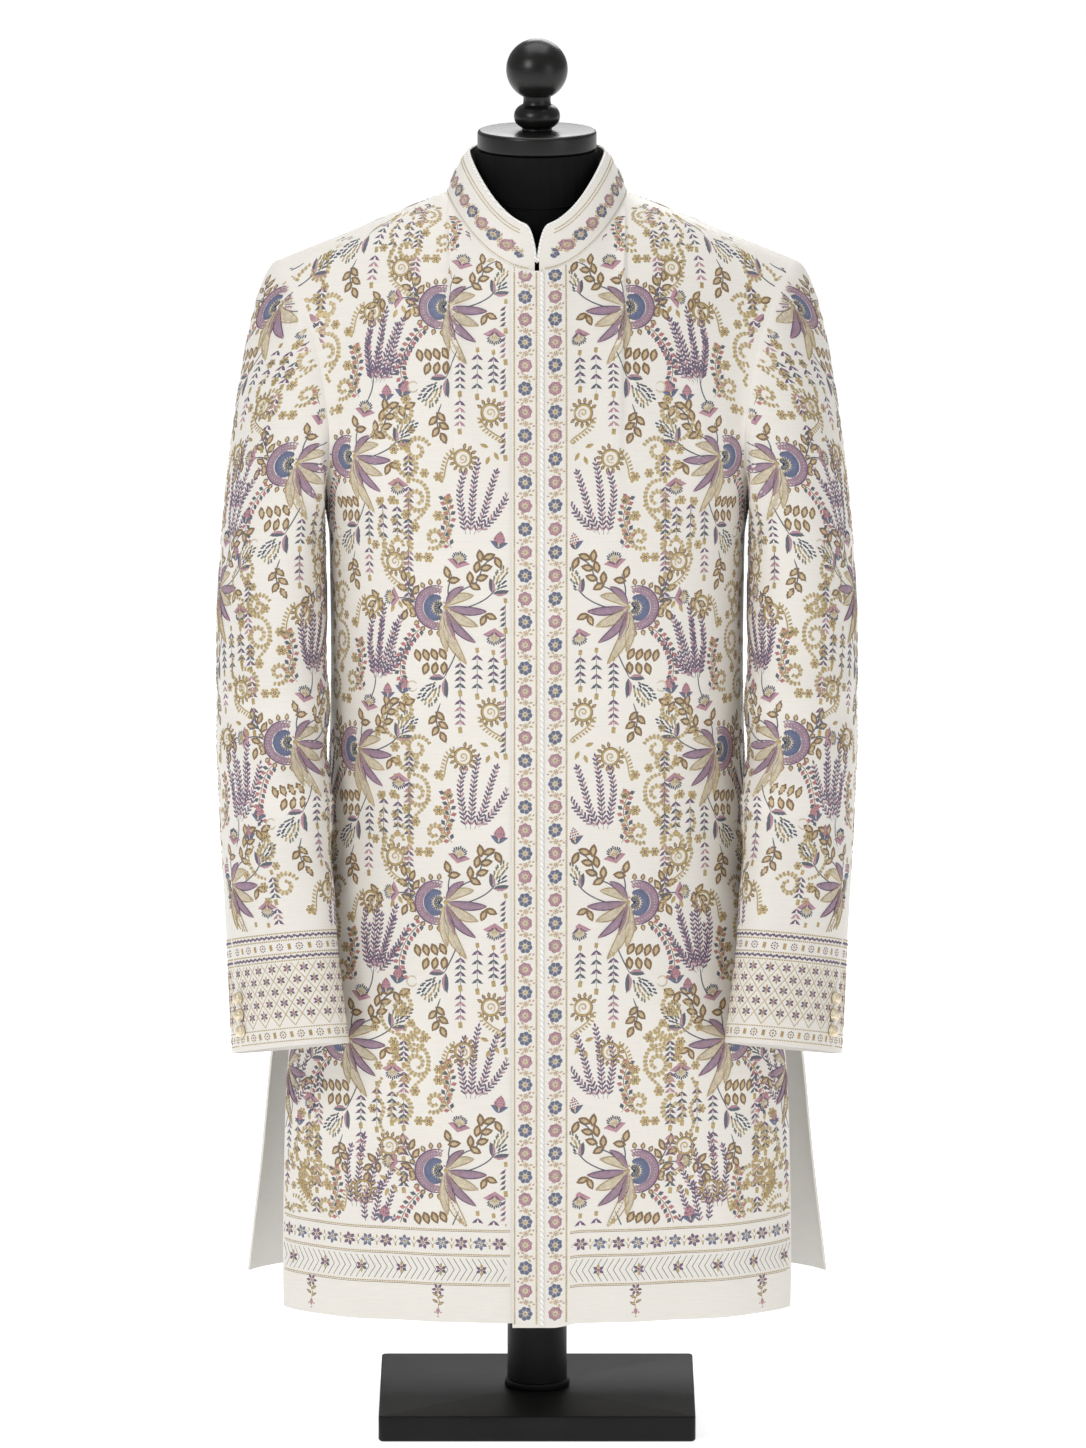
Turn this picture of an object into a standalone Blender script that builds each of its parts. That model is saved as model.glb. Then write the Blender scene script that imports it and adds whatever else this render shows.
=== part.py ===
"""Sherwani coat on a limbless dress form, standing on its base plate.

Metres, +Z up. The origin is on the floor, under the middle of the pole.
The coat faces -Y, and its wearer's left is at +X. Each cloth piece is a wall
whose outer points come from the coat's surface and whose inner points are
those points moved in by the wall's thickness.
"""

import functools
import math

import bpy
import numpy as np

# Cloth
WALL = 0.002
COLLAR_WALL = 0.0026
SEAM_GAP = 0.0003
LAP_LIFT = WALL + SEAM_GAP

# Coat body: level sections from the hem up to the chest, on the coat's own axis
SIDE_SEAM_Y = 0.005
SECTION_POWER = 2.5
BODY_COLUMNS = (
    "height",
    "front_half_width",
    "back_half_width",
    "front_depth",
    "back_depth",
    "front_edge_y",
    "back_edge_y",
)
BODY_SECTIONS = (
    (0.1075, 0.2359, 0.2615, 0.1350, 0.1250, -0.070, 0.060),
    (0.2100, 0.2235, 0.2440, 0.1325, 0.1220, -0.052, 0.051),
    (0.3180, 0.2115, 0.2280, 0.1300, 0.1180, -0.030, 0.040),
    (0.4000, 0.1975, 0.2040, 0.1275, 0.1120, -0.010, 0.019),
    (0.4550, 0.1860, 0.1860, 0.1255, 0.1080, 0.005, 0.005),
    (0.5600, 0.1745, 0.1745, 0.1200, 0.0980, 0.005, 0.005),
    (0.6600, 0.1725, 0.1725, 0.1190, 0.0990, 0.005, 0.005),
    (0.7550, 0.1735, 0.1735, 0.1200, 0.1060, 0.005, 0.005),
)
HEM_HEIGHT = BODY_SECTIONS[0][0]
CHEST_HEIGHT = BODY_SECTIONS[-1][0]

# The columns of cloth up to this share of the chest end at the neckline, the rest at the shoulder
NECK_SHARE = 0.30

# Neckline and shoulder seam
NECK_HALF_WIDTH = 0.0748
NECK_FRONT_DEPTH = 0.0970
NECK_BACK_DEPTH = 0.0630
NECK_FRONT_HEIGHT = 0.9905
NECK_POINT_HEIGHT = 1.0416
NECK_BACK_HEIGHT = 1.0460
SHOULDER_TIP = np.array((0.2165, SIDE_SEAM_Y, 0.9840))
NECK_POINT = np.array((NECK_HALF_WIDTH, SIDE_SEAM_Y, NECK_POINT_HEIGHT))
SHOULDER_SEAM = (SHOULDER_TIP - NECK_POINT) / np.linalg.norm(SHOULDER_TIP - NECK_POINT)
RIDGE_NORMAL = np.cross(SHOULDER_SEAM, (0.0, 1.0, 0.0))
TIP_SPREAD = 0.25
# The rows of cloth from this way up end at the armhole, and below it at the side seam
UNDERARM_WAY = 1.12
SIDE_SEAM_WAY = (0.45 - HEM_HEIGHT) / (CHEST_HEIGHT - HEM_HEIGHT)
ARMHOLE_PULL_IN = 3.0

# Armhole seam of the side at +X, from the shoulder tip down the front and up the back
# Columns: x, y, z
ARMHOLE = (
    (0.2165, 0.005, 0.9840),
    (0.2025, -0.028, 0.9687),
    (0.1931, -0.045, 0.9487),
    (0.1822, -0.058, 0.9180),
    (0.1735, -0.064, 0.8646),
    (0.1728, -0.056, 0.8260),
    (0.1765, -0.030, 0.7970),
    (0.1795, 0.005, 0.7900),
    (0.1800, 0.036, 0.8000),
    (0.1785, 0.060, 0.8320),
    (0.1810, 0.071, 0.8720),
    (0.1880, 0.067, 0.9220),
    (0.1985, 0.050, 0.9560),
    (0.2085, 0.028, 0.9740),
)

# Sleeve of the side at +X: oval rings from the upper arm to the cuff
SLEEVE_COLUMNS = ("height", "outer_x", "inner_x", "centre_y", "half_long", "slant_degrees")
SLEEVE_RINGS = (
    (0.735, 0.2650, 0.1758, -0.012, 0.0660, 12.0),
    (0.669, 0.2680, 0.1752, -0.024, 0.0635, 16.0),
    (0.590, 0.2675, 0.1737, -0.041, 0.0605, 22.0),
    (0.504, 0.2640, 0.1712, -0.062, 0.0585, 30.0),
    (0.428, 0.2595, 0.1666, -0.084, 0.0575, 38.0),
    (0.338, 0.2548, 0.1562, -0.107, 0.0580, 45.0),
)
ARM_TOP = SLEEVE_RINGS[0][0]
CUFF_HEIGHT = SLEEVE_RINGS[-1][0]
# Shares round the sleeve from its outer side: the front is at 0.25, the body side at 0.5
FRONT_SLEEVE_SEAM = 0.4375
BACK_SLEEVE_SEAM = 0.9375

# Front overlap: the wearer's left front laps over the right one
OVERLAP_WIDTH = 0.0205
UNDERLAP_WIDTH = 0.0100
LAP_FLAT = 0.0130
LAP_RAMP = 0.0240
OVERLAP_DROP = 0.0035
FRONT_PIPING_X = 0.0042
FRONT_PIPING_WIDTH = 0.0036
FRONT_PIPING_HEIGHT = 0.0014

# Stand collar
COLLAR_TOP_HALF_WIDTH = 0.0585
COLLAR_TOP_FRONT_DEPTH = 0.0830
COLLAR_TOP_BACK_DEPTH = 0.0585
COLLAR_RISE = 0.0340
COLLAR_CORNER = 0.0120
COLLAR_END_GAP = 0.0061
COLLAR_FIRST_TURN = COLLAR_END_GAP / 2 / COLLAR_TOP_HALF_WIDTH
COLLAR_PIPING_RADIUS = 0.0012

# Cuff buttons, on the back seam of each sleeve
BUTTON_DIAMETER = 0.0106
BUTTON_DOME = 0.0060
BUTTON_HEIGHTS = (0.3540, 0.3674, 0.3808)
BUTTON_SHARE = 0.955

# Soft folds, as depth and spread
SKIRT_WAVE_DEPTH = 0.0022
SKIRT_WAVE_TOP = 0.4300
BROAD_WAVES = 9.0
NARROW_WAVES = 21.0
FRONT_WAVE_START = 0.6
BACK_WAVE_START = 2.1
WAVE_FREE_SHARES = (0.06, 0.25)
ELBOW_HEIGHT = 0.5700
ELBOW_FOLD_DEPTH = 0.0026

# Dress form and stand
PLATE_WIDTH = 0.266
PLATE_DEPTH = 0.220
PLATE_THICKNESS = 0.022
PLATE_BEVEL = 0.0016
POLE_RADIUS = 0.0252
POLE_RING_RADIUS = 0.0275
POLE_RING_HEIGHT = 0.0060
TORSO_BOTTOM = 0.470
NECK_RADIUS = 0.0512
NECK_TOP = 1.0780
CAP_RADIUS = 0.0495
CAP_HEIGHT = 0.0165
CAP_EDGE = 0.0030
BEAD_RADIUS = 0.0192
BEAD_HEIGHT = 0.0222
WAIST_RADIUS = 0.0116
WAIST_HEIGHT = 0.0065
BALL_RADIUS = 0.0256
SEAT_DROP = 0.0008
RIDGE_ROUNDNESS = 1.7

# Numbers of steps along each piece
ROWS_LOWER = 12
COLUMNS_NECK = 6
COLUMNS_SHOULDER = 9
ROWS_ARMHOLE = 8
SLEEVE_CAP_ROWS = 6
SLEEVE_ARM_ROWS = 10
SLEEVE_COLUMNS_EACH = 8
COLLAR_ROWS = 4
ROUND_STEPS = 24

FRONT, BACK = -1, 1


def table(rows, column, height):
    """A column of a table at these heights, on a smooth curve that never overshoots."""
    xs = np.array([row[0] for row in rows])
    ys = np.array([row[column] for row in rows])
    steps = np.diff(xs)
    slopes = np.diff(ys) / steps
    tangents = np.zeros(len(xs))
    same_way = slopes[:-1] * slopes[1:] > 0
    before = 2 * steps[1:] + steps[:-1]
    after = steps[1:] + 2 * steps[:-1]
    with np.errstate(divide="ignore", invalid="ignore"):
        middle = (before + after) / (before / slopes[:-1] + after / slopes[1:])
    tangents[1:-1] = np.where(same_way, middle, 0.0)
    tangents[0], tangents[-1] = slopes[0], slopes[-1]
    height = np.clip(height, min(xs[0], xs[-1]), max(xs[0], xs[-1]))
    at = np.clip(np.searchsorted(xs, height) - 1, 0, len(steps) - 1)
    t = (height - xs[at]) / steps[at]
    return hermite(ys[at], tangents[at] * steps[at], ys[at + 1], tangents[at + 1] * steps[at], t)


def hermite(start, leave, end, arrive, t):
    """A cubic from start to end that leaves and arrives with these tangents."""
    return (
        (2 * t**3 - 3 * t**2 + 1) * start
        + (t**3 - 2 * t**2 + t) * leave
        + (3 * t**2 - 2 * t**3) * end
        + (t**3 - t**2) * arrive
    )


def smooth(low, high, value):
    """0 below low, 1 above high, and a smooth step between them."""
    t = np.clip((value - low) / (high - low), 0.0, 1.0)
    return t * t * (3 - 2 * t)


def unit(vector):
    return vector / np.linalg.norm(vector, axis=-1, keepdims=True)


def body_size(column, height):
    return table(BODY_SECTIONS, BODY_COLUMNS.index(column), height)


def sleeve_size(column, height):
    return table(tuple(reversed(SLEEVE_RINGS)), SLEEVE_COLUMNS.index(column), height)


# Coat surface


@functools.lru_cache(maxsize=None)
def section(side, height):
    """Half width, depth, and lengths along the level section with their angles."""
    name = "front" if side == FRONT else "back"
    half_width = body_size(f"{name}_half_width", height)
    depth = body_size(f"{name}_depth", height)
    edge_y = body_size(f"{name}_edge_y", height)
    edge = np.clip(side * (edge_y - SIDE_SEAM_Y) / depth, 0.0, 1.0)
    last = math.acos(edge ** (SECTION_POWER / 2))
    angles = np.linspace(0.0, last, 240)
    xs = half_width * np.sin(angles) ** (2 / SECTION_POWER)
    ys = depth * np.cos(angles) ** (2 / SECTION_POWER)
    lengths = np.concatenate([[0.0], np.cumsum(np.hypot(np.diff(xs), np.diff(ys)))])
    return half_width, depth, lengths, angles


def section_point(side, share, height):
    """A point of the level section, at a share of the way from its middle to its edge."""
    half_width, depth, lengths, angles = section(side, height)
    angle = np.interp(share * lengths[-1], lengths, angles)
    x = half_width * math.sin(angle) ** (2 / SECTION_POWER)
    y = SIDE_SEAM_Y + side * depth * math.cos(angle) ** (2 / SECTION_POWER)
    return np.array((x, y, height))


def section_length(side, height):
    return section(side, height)[2][-1]


def between_steps(curve, share, steps):
    """A point of the run of straight steps through the curve, which both sides of a seam share."""
    low = min(math.floor(share * steps + 1e-9), steps - 1)
    part = share * steps - low
    return curve(low / steps) * (1 - part) + curve((low + 1) / steps) * part


def neck_turn(part):
    """The turn round the neck of this part of its columns, so that the columns run upright."""
    return 2 / math.pi * part + (1 - 2 / math.pi) * part**3


def neck_part(turn):
    parts = np.linspace(0.0, 1.0, 201)
    return float(np.interp(turn, neck_turn(parts), parts))


def neckline_curve(side, part):
    """A point of the neckline, with part 0 at the middle and 1 at the shoulder seam."""
    angle = neck_turn(part) * math.pi / 2
    depth = NECK_FRONT_DEPTH if side == FRONT else NECK_BACK_DEPTH
    middle = NECK_FRONT_HEIGHT if side == FRONT else NECK_BACK_HEIGHT
    height = middle + (NECK_POINT_HEIGHT - middle) * math.sin(angle) ** 2
    return np.array(
        (NECK_HALF_WIDTH * math.sin(angle), SIDE_SEAM_Y + side * depth * math.cos(angle), height)
    )


def neckline_point(side, part):
    return between_steps(functools.partial(neckline_curve, side), part, COLUMNS_NECK)


@functools.lru_cache(maxsize=None)
def closed_curve(rows):
    """Points of the smooth closed curve through these rows, and the lengths along it."""
    points = np.array(rows)
    count = len(points)
    fine = []
    for i in range(count):
        before, here, there, after = (points[(i + k) % count] for k in (-1, 0, 1, 2))
        for t in np.linspace(0, 1, 16, endpoint=False):
            fine.append(hermite(here, (there - before) / 2, there, (after - here) / 2, t))
    fine = np.array(fine + [fine[0]])
    lengths = np.concatenate([[0.0], np.cumsum(np.linalg.norm(np.diff(fine, axis=0), axis=1))])
    return fine, lengths


def armhole_curve(share):
    """Share 0 is the shoulder tip, and the front of the armhole comes first."""
    fine, lengths = closed_curve(ARMHOLE)
    at = (share % 1.0) * lengths[-1]
    return np.array([np.interp(at, lengths, fine[:, axis]) for axis in range(3)])


def armhole_point(share):
    return between_steps(armhole_curve, share % 1.0, 2 * ROWS_ARMHOLE)


def round_share_of(side, way):
    """The share round the armhole that this row of cloth ends at."""
    along = 0.5 * (way - UNDERARM_WAY) / (2 - UNDERARM_WAY)
    return 0.5 - along if side == FRONT else 0.5 + along


def side_edge(side, way):
    """The panel's side edge: up the side seam to the armhole, then round it to the shoulder."""
    if way >= UNDERARM_WAY:
        return armhole_point(round_share_of(side, way))
    start = section_point(side, 1.0, CHEST_HEIGHT)
    return start + (armhole_point(0.5) - start) * (way - 1) / (UNDERARM_WAY - 1)


@functools.lru_cache(maxsize=None)
def armhole_frame(share):
    """Which way the seam faces, and half a seam gap from it towards the body panel."""
    if share in (0.0, 1.0):
        return RIDGE_NORMAL, -SHOULDER_SEAM * SEAM_GAP / 2
    side = FRONT if share <= 0.5 else BACK
    way = UNDERARM_WAY + abs(share - 0.5) / 0.5 * (2 - UNDERARM_WAY)
    body_normal = surface_normal(side, 1.0, way)
    body_way = unit(coat_point(side, 0.98, way) - coat_point(side, 1.0, way))
    leave = unit(sleeve_point(share, 0.02) - sleeve_point(share, 0.0))
    cloth_normal = sleeve_normal(share, 0.02)
    facing = unit(body_normal + cloth_normal)
    apart = (body_way - leave) + (cloth_normal - body_normal) / 2
    step = 0.25 / ROWS_ARMHOLE
    along = armhole_point(share + step) - armhole_point(share - step)
    pull = unit(np.cross(facing, along))
    return facing, pull * math.copysign(SEAM_GAP / 2, float(pull @ apart))


def armhole_facing(share):
    return unit(between_steps(lambda at: armhole_frame(at)[0], share % 1.0, 2 * ROWS_ARMHOLE))


def armhole_pull(share):
    return between_steps(lambda at: armhole_frame(at)[1], share % 1.0, 2 * ROWS_ARMHOLE)


def top_edge(side, share):
    """Where the column at this share of the chest ends, and the way it points there."""
    over_ridge = np.array((0.0, -float(side), 0.0))
    if share <= NECK_SHARE:
        part = share / NECK_SHARE
        weight = neck_turn(part) ** 2
        lean = 0.25 if side == FRONT else 0.35
        upright = np.array((0.0, -side * lean, 1.0))
        return neckline_point(side, part), unit(upright * (1 - weight) + over_ridge * weight)
    along = (share - NECK_SHARE) / (1 - NECK_SHARE)
    point = NECK_POINT + (SHOULDER_TIP - NECK_POINT) * along
    return point, unit(over_ridge + TIP_SPREAD * along * SHOULDER_SEAM)


def rising_point(side, share, rise):
    """A column of cloth on its way from the chest to the neckline or the shoulder seam."""
    start = section_point(side, share, CHEST_HEIGHT)
    below = section_point(side, share, CHEST_HEIGHT - 0.03)
    end, arrive = top_edge(side, share)
    reach = np.linalg.norm(end - start)
    return hermite(start, unit(start - below) * reach, end, arrive * reach * 0.95, rise)


def coat_point(side, share, way):
    """The coat's outer surface. way is 0 at the hem, 1 at the chest and 2 at the top edge."""
    if share < 0:
        return coat_point(side, -share, way) * np.array((-1.0, 1.0, 1.0))
    if share > 1:
        return coat_point(-side, 2 - share, way)
    if way <= 1:
        height = HEM_HEIGHT + (CHEST_HEIGHT - HEM_HEIGHT) * way
        point = section_point(side, share, height)
        start = FRONT_WAVE_START if side == FRONT else BACK_WAVE_START
        wave = math.sin(share * BROAD_WAVES + start) + 0.5 * math.sin(share * NARROW_WAVES)
        depth = SKIRT_WAVE_DEPTH * wave * (1 - smooth(HEM_HEIGHT, SKIRT_WAVE_TOP, height))
        hold = smooth(*WAVE_FREE_SHARES, share)
        middle = np.array((0.0, SIDE_SEAM_Y, height))
        return point + unit(point - middle) * depth * hold
    shift = side_edge(side, way) - rising_point(side, 1.0, way - 1)
    return rising_point(side, share, way - 1) + shift * share**ARMHOLE_PULL_IN


def surface_normal(side, share, way):
    """The outward direction of the coat's surface."""
    if share < 0:
        return surface_normal(side, -share, way) * np.array((-1.0, 1.0, 1.0))
    step = 0.004
    high_share = share + step
    if way > 0.9:
        high_share = min(high_share, 1.0)
    elif share > 1 - step:
        high_share = share
    across = coat_point(side, high_share, way) - coat_point(side, share - step, way)
    low, high = max(way - step, 0.0), min(way + step, 2.0)
    if low < 1 < high:
        low, high = way, min(way + step, 2.0)
    along = coat_point(side, share, high) - coat_point(side, share, low)
    return unit(np.cross(across, along) * -side)


def coat_normal(side, share, way):
    """The outward direction of the wall, which a seam shares between its two pieces."""
    if abs(share) > 0.995 and way > UNDERARM_WAY - 0.001:
        facing = armhole_facing(round_share_of(side, way))
        return facing * np.array((math.copysign(1.0, share), 1.0, 1.0))
    if way == 2.0 and abs(share) > NECK_SHARE:
        return RIDGE_NORMAL * np.array((math.copysign(1.0, share), 1.0, 1.0))
    return surface_normal(side, share, way)


def coat_rows():
    """Ways from the hem to the top edge. The upper rows end at the armhole's shared points."""
    lower = list(np.linspace(0.0, 1.0, ROWS_LOWER + 1))
    upper = list(np.linspace(UNDERARM_WAY, 2.0, ROWS_ARMHOLE + 1))
    return lower + upper


def height_of(way):
    return HEM_HEIGHT + (CHEST_HEIGHT - HEM_HEIGHT) * min(way, 1.0)


def share_of(distance, way):
    """The share of the section at this distance from the middle of the front."""
    level = distance / section_length(FRONT, height_of(way))
    turn = math.asin(abs(distance) / NECK_HALF_WIDTH) / (math.pi / 2)
    at_neck = math.copysign(neck_part(turn), distance) * NECK_SHARE
    rise = max(way - 1.0, 0.0)
    return level * (1 - rise) + at_neck * rise


def chest_shares():
    """Shares of the columns from the middle to the side seam."""
    neck = np.linspace(0.0, NECK_SHARE, COLUMNS_NECK + 1)
    shoulder = np.linspace(NECK_SHARE, 1.0, COLUMNS_SHOULDER + 1)[1:]
    return np.concatenate([neck, shoulder])


def seam_pull(side, share, way):
    """Half a seam gap from the panel's edge, within the cloth, towards the panel."""
    if share < 0:
        return seam_pull(side, -share, way) * np.array((-1.0, 1.0, 1.0))
    towards = np.array((0.0, float(side), 0.0))
    if share == 1.0:
        if way < UNDERARM_WAY - 0.001:
            return towards * SEAM_GAP / 2 if way > SIDE_SEAM_WAY else np.zeros(3)
        if way == 2.0:
            return (towards - SHOULDER_SEAM) * SEAM_GAP / 2
        pull = armhole_pull(round_share_of(side, way))
        return pull + towards * SEAM_GAP / 2 if way < UNDERARM_WAY + 0.001 else pull
    if way < 2.0:
        return np.zeros(3)
    if share > NECK_SHARE:
        return towards * SEAM_GAP / 2
    if share == NECK_SHARE:
        return (towards + SHOULDER_SEAM) * SEAM_GAP / 2
    step = 0.006
    normal = surface_normal(side, share, 2.0)
    along = unit(coat_point(side, share + step, 2.0) - coat_point(side, share - step, 2.0))
    pull = np.cross(normal, along)
    inside = coat_point(side, share, 1.9) - coat_point(side, share, 2.0)
    return unit(pull) * math.copysign(SEAM_GAP / 2, float(pull @ inside))


def panel_grid(side, shares, distances=(), lift_of=None):
    """Outer and inner points of a body panel, row by row from the hem."""
    outer, inner = [], []
    for way in coat_rows():
        outer_row, inner_row = [], []
        near = [share_of(distance, way) for distance in distances]
        for share in sorted([*near, *shares]):
            point = coat_point(side, share, way)
            normal = coat_normal(side, share, way)
            point = point + seam_pull(side, share, way)
            if lift_of is not None:
                lift, drop = lift_of(share, way)
                point = point + normal * lift
                point[2] -= drop
            outer_row.append(point)
            inner_row.append(point - normal * WALL)
        outer.append(outer_row)
        inner.append(inner_row)
    return np.array(outer), np.array(inner)


# Sleeve surface


def sleeve_centre(height):
    outer, inner = sleeve_size("outer_x", height), sleeve_size("inner_x", height)
    return np.array(((outer + inner) / 2, sleeve_size("centre_y", height), height))


def ring_point(share, height):
    """A point of the sleeve's ring. The ring tips so that it stands square to the sleeve."""
    centre = sleeve_centre(height)
    across = (sleeve_size("outer_x", height) - sleeve_size("inner_x", height)) / 2
    half_long = sleeve_size("half_long", height)
    slant = math.radians(sleeve_size("slant_degrees", height))
    half_short = math.sqrt(across**2 - (half_long * math.sin(slant)) ** 2) / math.cos(slant)
    turn = share * 2 * math.pi
    forward = np.array((-math.sin(slant), -math.cos(slant), 0.0))
    outward = np.array((math.cos(slant), -math.sin(slant), 0.0))
    offset = outward * half_short * math.cos(turn) + forward * half_long * math.sin(turn)
    tip = smooth(0.0, 1.0, (ARM_TOP - height) / (ARM_TOP - CUFF_HEIGHT))
    above, below = min(height + 0.02, ARM_TOP), max(height - 0.02, CUFF_HEIGHT)
    fall = sleeve_centre(above) - sleeve_centre(below)
    slope = fall[:2] / fall[2]
    offset[2] = -tip * float(slope @ offset[:2])
    bend = (height - ELBOW_HEIGHT) / 0.045
    fold = math.cos(bend * 3.2 + turn) * math.exp(-bend * bend / 3)
    inside = 0.5 + 0.5 * math.sin(turn - 0.5)
    return centre + offset * (1 + ELBOW_FOLD_DEPTH * fold * inside / half_short)


def sleeve_point(share, way):
    """The sleeve's outer surface. way is 0 at the armhole, 1 at the upper arm, 2 at the cuff."""
    if way >= 1:
        return ring_point(share, ARM_TOP + (CUFF_HEIGHT - ARM_TOP) * (way - 1))
    start = armhole_point(share)
    end = ring_point(share, ARM_TOP)
    below = ring_point(share, ARM_TOP - 0.02)
    top = math.cos(share * 2 * math.pi)
    front = math.sin(share * 2 * math.pi)
    leave = unit(np.array((0.55 + 0.5 * top, -0.45 * front, -(0.70 - 0.25 * top))))
    reach = np.linalg.norm(end - start)
    return hermite(start, leave * reach * (0.45 - 0.15 * top), end, unit(below - end) * reach, way)


def sleeve_normal(share, way):
    step = 0.004
    across = sleeve_point(share + step, way) - sleeve_point(share - step, way)
    low, high = max(way - step, 0.0), min(way + step, 2.0)
    if low < 1 < high:
        low, high = way, way + step
    along = sleeve_point(share, high) - sleeve_point(share, low)
    return unit(np.cross(across, along))


def sleeve_grid(shares):
    """Outer and inner points of a sleeve piece, row by row from the armhole."""
    cap = list(np.linspace(0.0, 1.0, SLEEVE_CAP_ROWS + 1) ** 1.35)
    arm = list(1 + np.linspace(0.0, 1.0, SLEEVE_ARM_ROWS + 1)[1:])
    outer, inner = [], []
    for way in cap + arm:
        outer_row, inner_row = [], []
        for share in shares:
            point = sleeve_point(share, way)
            normal = sleeve_normal(share, way)
            if way == 0.0:
                normal = armhole_facing(share)
                point = point - armhole_pull(share)
            outer_row.append(point)
            inner_row.append(point - normal * WALL)
        outer.append(outer_row)
        inner.append(inner_row)
    return np.array(outer), np.array(inner)


# Meshes


def material(name, colour, roughness, metallic=0.0):
    found = bpy.data.materials.get(name)
    if found:
        return found
    made = bpy.data.materials.new(name)
    made.use_nodes = True
    shader = made.node_tree.nodes["Principled BSDF"]
    shader.inputs["Base Color"].default_value = (*colour, 1.0)
    shader.inputs["Roughness"].default_value = roughness
    shader.inputs["Metallic"].default_value = metallic
    made.diffuse_color = (*colour, 1.0)
    return made


def ivory_cloth():
    return material("ivory_satin", (0.80, 0.77, 0.71), 0.55)


def white_piping():
    return material("white_piping", (0.86, 0.84, 0.80), 0.50)


def button_metal():
    return material("pale_gold", (0.72, 0.62, 0.44), 0.35, 0.6)


def black_jersey():
    return material("black_jersey", (0.012, 0.012, 0.012), 0.80)


def black_wood():
    return material("black_wood", (0.010, 0.010, 0.010), 0.35)


def black_metal():
    return material("black_metal", (0.020, 0.020, 0.020), 0.42)


def add_mesh(name, points, faces, look):
    """An object from points and faces, turned so that its faces point out."""
    points = np.asarray(points, float)
    volume = 0.0
    for face in faces:
        for k in range(1, len(face) - 1):
            a, b, c = points[face[0]], points[face[k]], points[face[k + 1]]
            volume += float(np.dot(a, np.cross(b, c)))
    if volume < 0:
        faces = [tuple(reversed(face)) for face in faces]
    mesh = bpy.data.meshes.new(name)
    mesh.from_pydata([tuple(p) for p in points], [], faces)
    mesh.materials.append(look)
    mesh.shade_smooth()
    mesh.set_sharp_from_angle(angle=math.radians(40))
    made = bpy.data.objects.new(name, mesh)
    bpy.context.scene.collection.objects.link(made)
    return made


def split(points, quad):
    """Two triangles along the shorter diagonal, so that both sides of a seam split alike."""
    a, b, c, d = quad
    one = np.linalg.norm(points[a] - points[c])
    other = np.linalg.norm(points[b] - points[d])
    if one <= other:
        return [(a, b, c), (a, c, d)]
    return [(a, b, d), (b, c, d)]


def add_shell(name, outer, inner, look):
    """A closed wall between two grids of points."""
    rows, columns, _ = outer.shape
    points = np.concatenate([outer.reshape(-1, 3), inner.reshape(-1, 3)])
    count = rows * columns

    def at(row, column, layer):
        return layer * count + row * columns + column

    faces = []
    for r in range(rows - 1):
        for c in range(columns - 1):
            faces.append((at(r, c, 0), at(r, c + 1, 0), at(r + 1, c + 1, 0), at(r + 1, c, 0)))
            faces.append((at(r, c, 1), at(r + 1, c, 1), at(r + 1, c + 1, 1), at(r, c + 1, 1)))
    for c in range(columns - 1):
        faces.append((at(0, c + 1, 0), at(0, c, 0), at(0, c, 1), at(0, c + 1, 1)))
        last = rows - 1
        faces.append((at(last, c, 0), at(last, c + 1, 0), at(last, c + 1, 1), at(last, c, 1)))
    for r in range(rows - 1):
        faces.append((at(r, 0, 0), at(r + 1, 0, 0), at(r + 1, 0, 1), at(r, 0, 1)))
        last = columns - 1
        faces.append((at(r + 1, last, 0), at(r, last, 0), at(r, last, 1), at(r + 1, last, 1)))
    triangles = [triangle for quad in faces for triangle in split(points, quad)]
    return add_mesh(name, points, triangles, look)


def add_loft(name, rings, look):
    """A closed body through rings of equal count, with a flat cap at each end."""
    rings = np.asarray(rings, float)
    count, steps, _ = rings.shape
    faces = []
    for r in range(count - 1):
        for k in range(steps):
            after = (k + 1) % steps
            faces.append(
                (r * steps + k, r * steps + after, (r + 1) * steps + after, (r + 1) * steps + k)
            )
    faces.append(tuple(reversed(range(steps))))
    faces.append(tuple((count - 1) * steps + k for k in range(steps)))
    return add_mesh(name, rings.reshape(-1, 3), faces, look)


def turned(name, profile, look, centre=(0.0, 0.0), steps=ROUND_STEPS):
    """A turned body on a vertical axis, from rows of radius and height going up."""
    turns = np.linspace(0, 2 * math.pi, steps, endpoint=False)
    rings = [
        [(centre[0] + r * math.cos(t), centre[1] + r * math.sin(t), z) for t in turns]
        for r, z in profile
    ]
    return add_loft(name, rings, look)


def mirrored(points):
    return points * np.array((-1.0, 1.0, 1.0))


# Coat pieces


def lap_lift(share, way):
    """How far the overlapping front stands out near its edge, and how far it hangs lower."""
    distance = share / share_of(0.001, way) * 0.001
    near = 1 - float(smooth(LAP_FLAT, LAP_FLAT + LAP_RAMP, distance))
    low = 1 - float(smooth(0.0, 0.15, way))
    return LAP_LIFT * near, OVERLAP_DROP * near * low


def make_fronts():
    shares = chest_shares()
    outer, inner = panel_grid(
        FRONT, shares, (-UNDERLAP_WIDTH, OVERLAP_WIDTH / 2, OVERLAP_WIDTH)
    )
    add_shell("front_right", mirrored(outer), mirrored(inner), ivory_cloth())
    near = (-OVERLAP_WIDTH, -OVERLAP_WIDTH / 2, UNDERLAP_WIDTH)
    outer, inner = panel_grid(FRONT, shares, near, lap_lift)
    add_shell("front_left", outer, inner, ivory_cloth())


def make_back():
    shares = chest_shares()
    both = np.concatenate([-shares[:0:-1], shares])
    outer, inner = panel_grid(BACK, both)
    add_shell("back", outer, inner, ivory_cloth())


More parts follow.
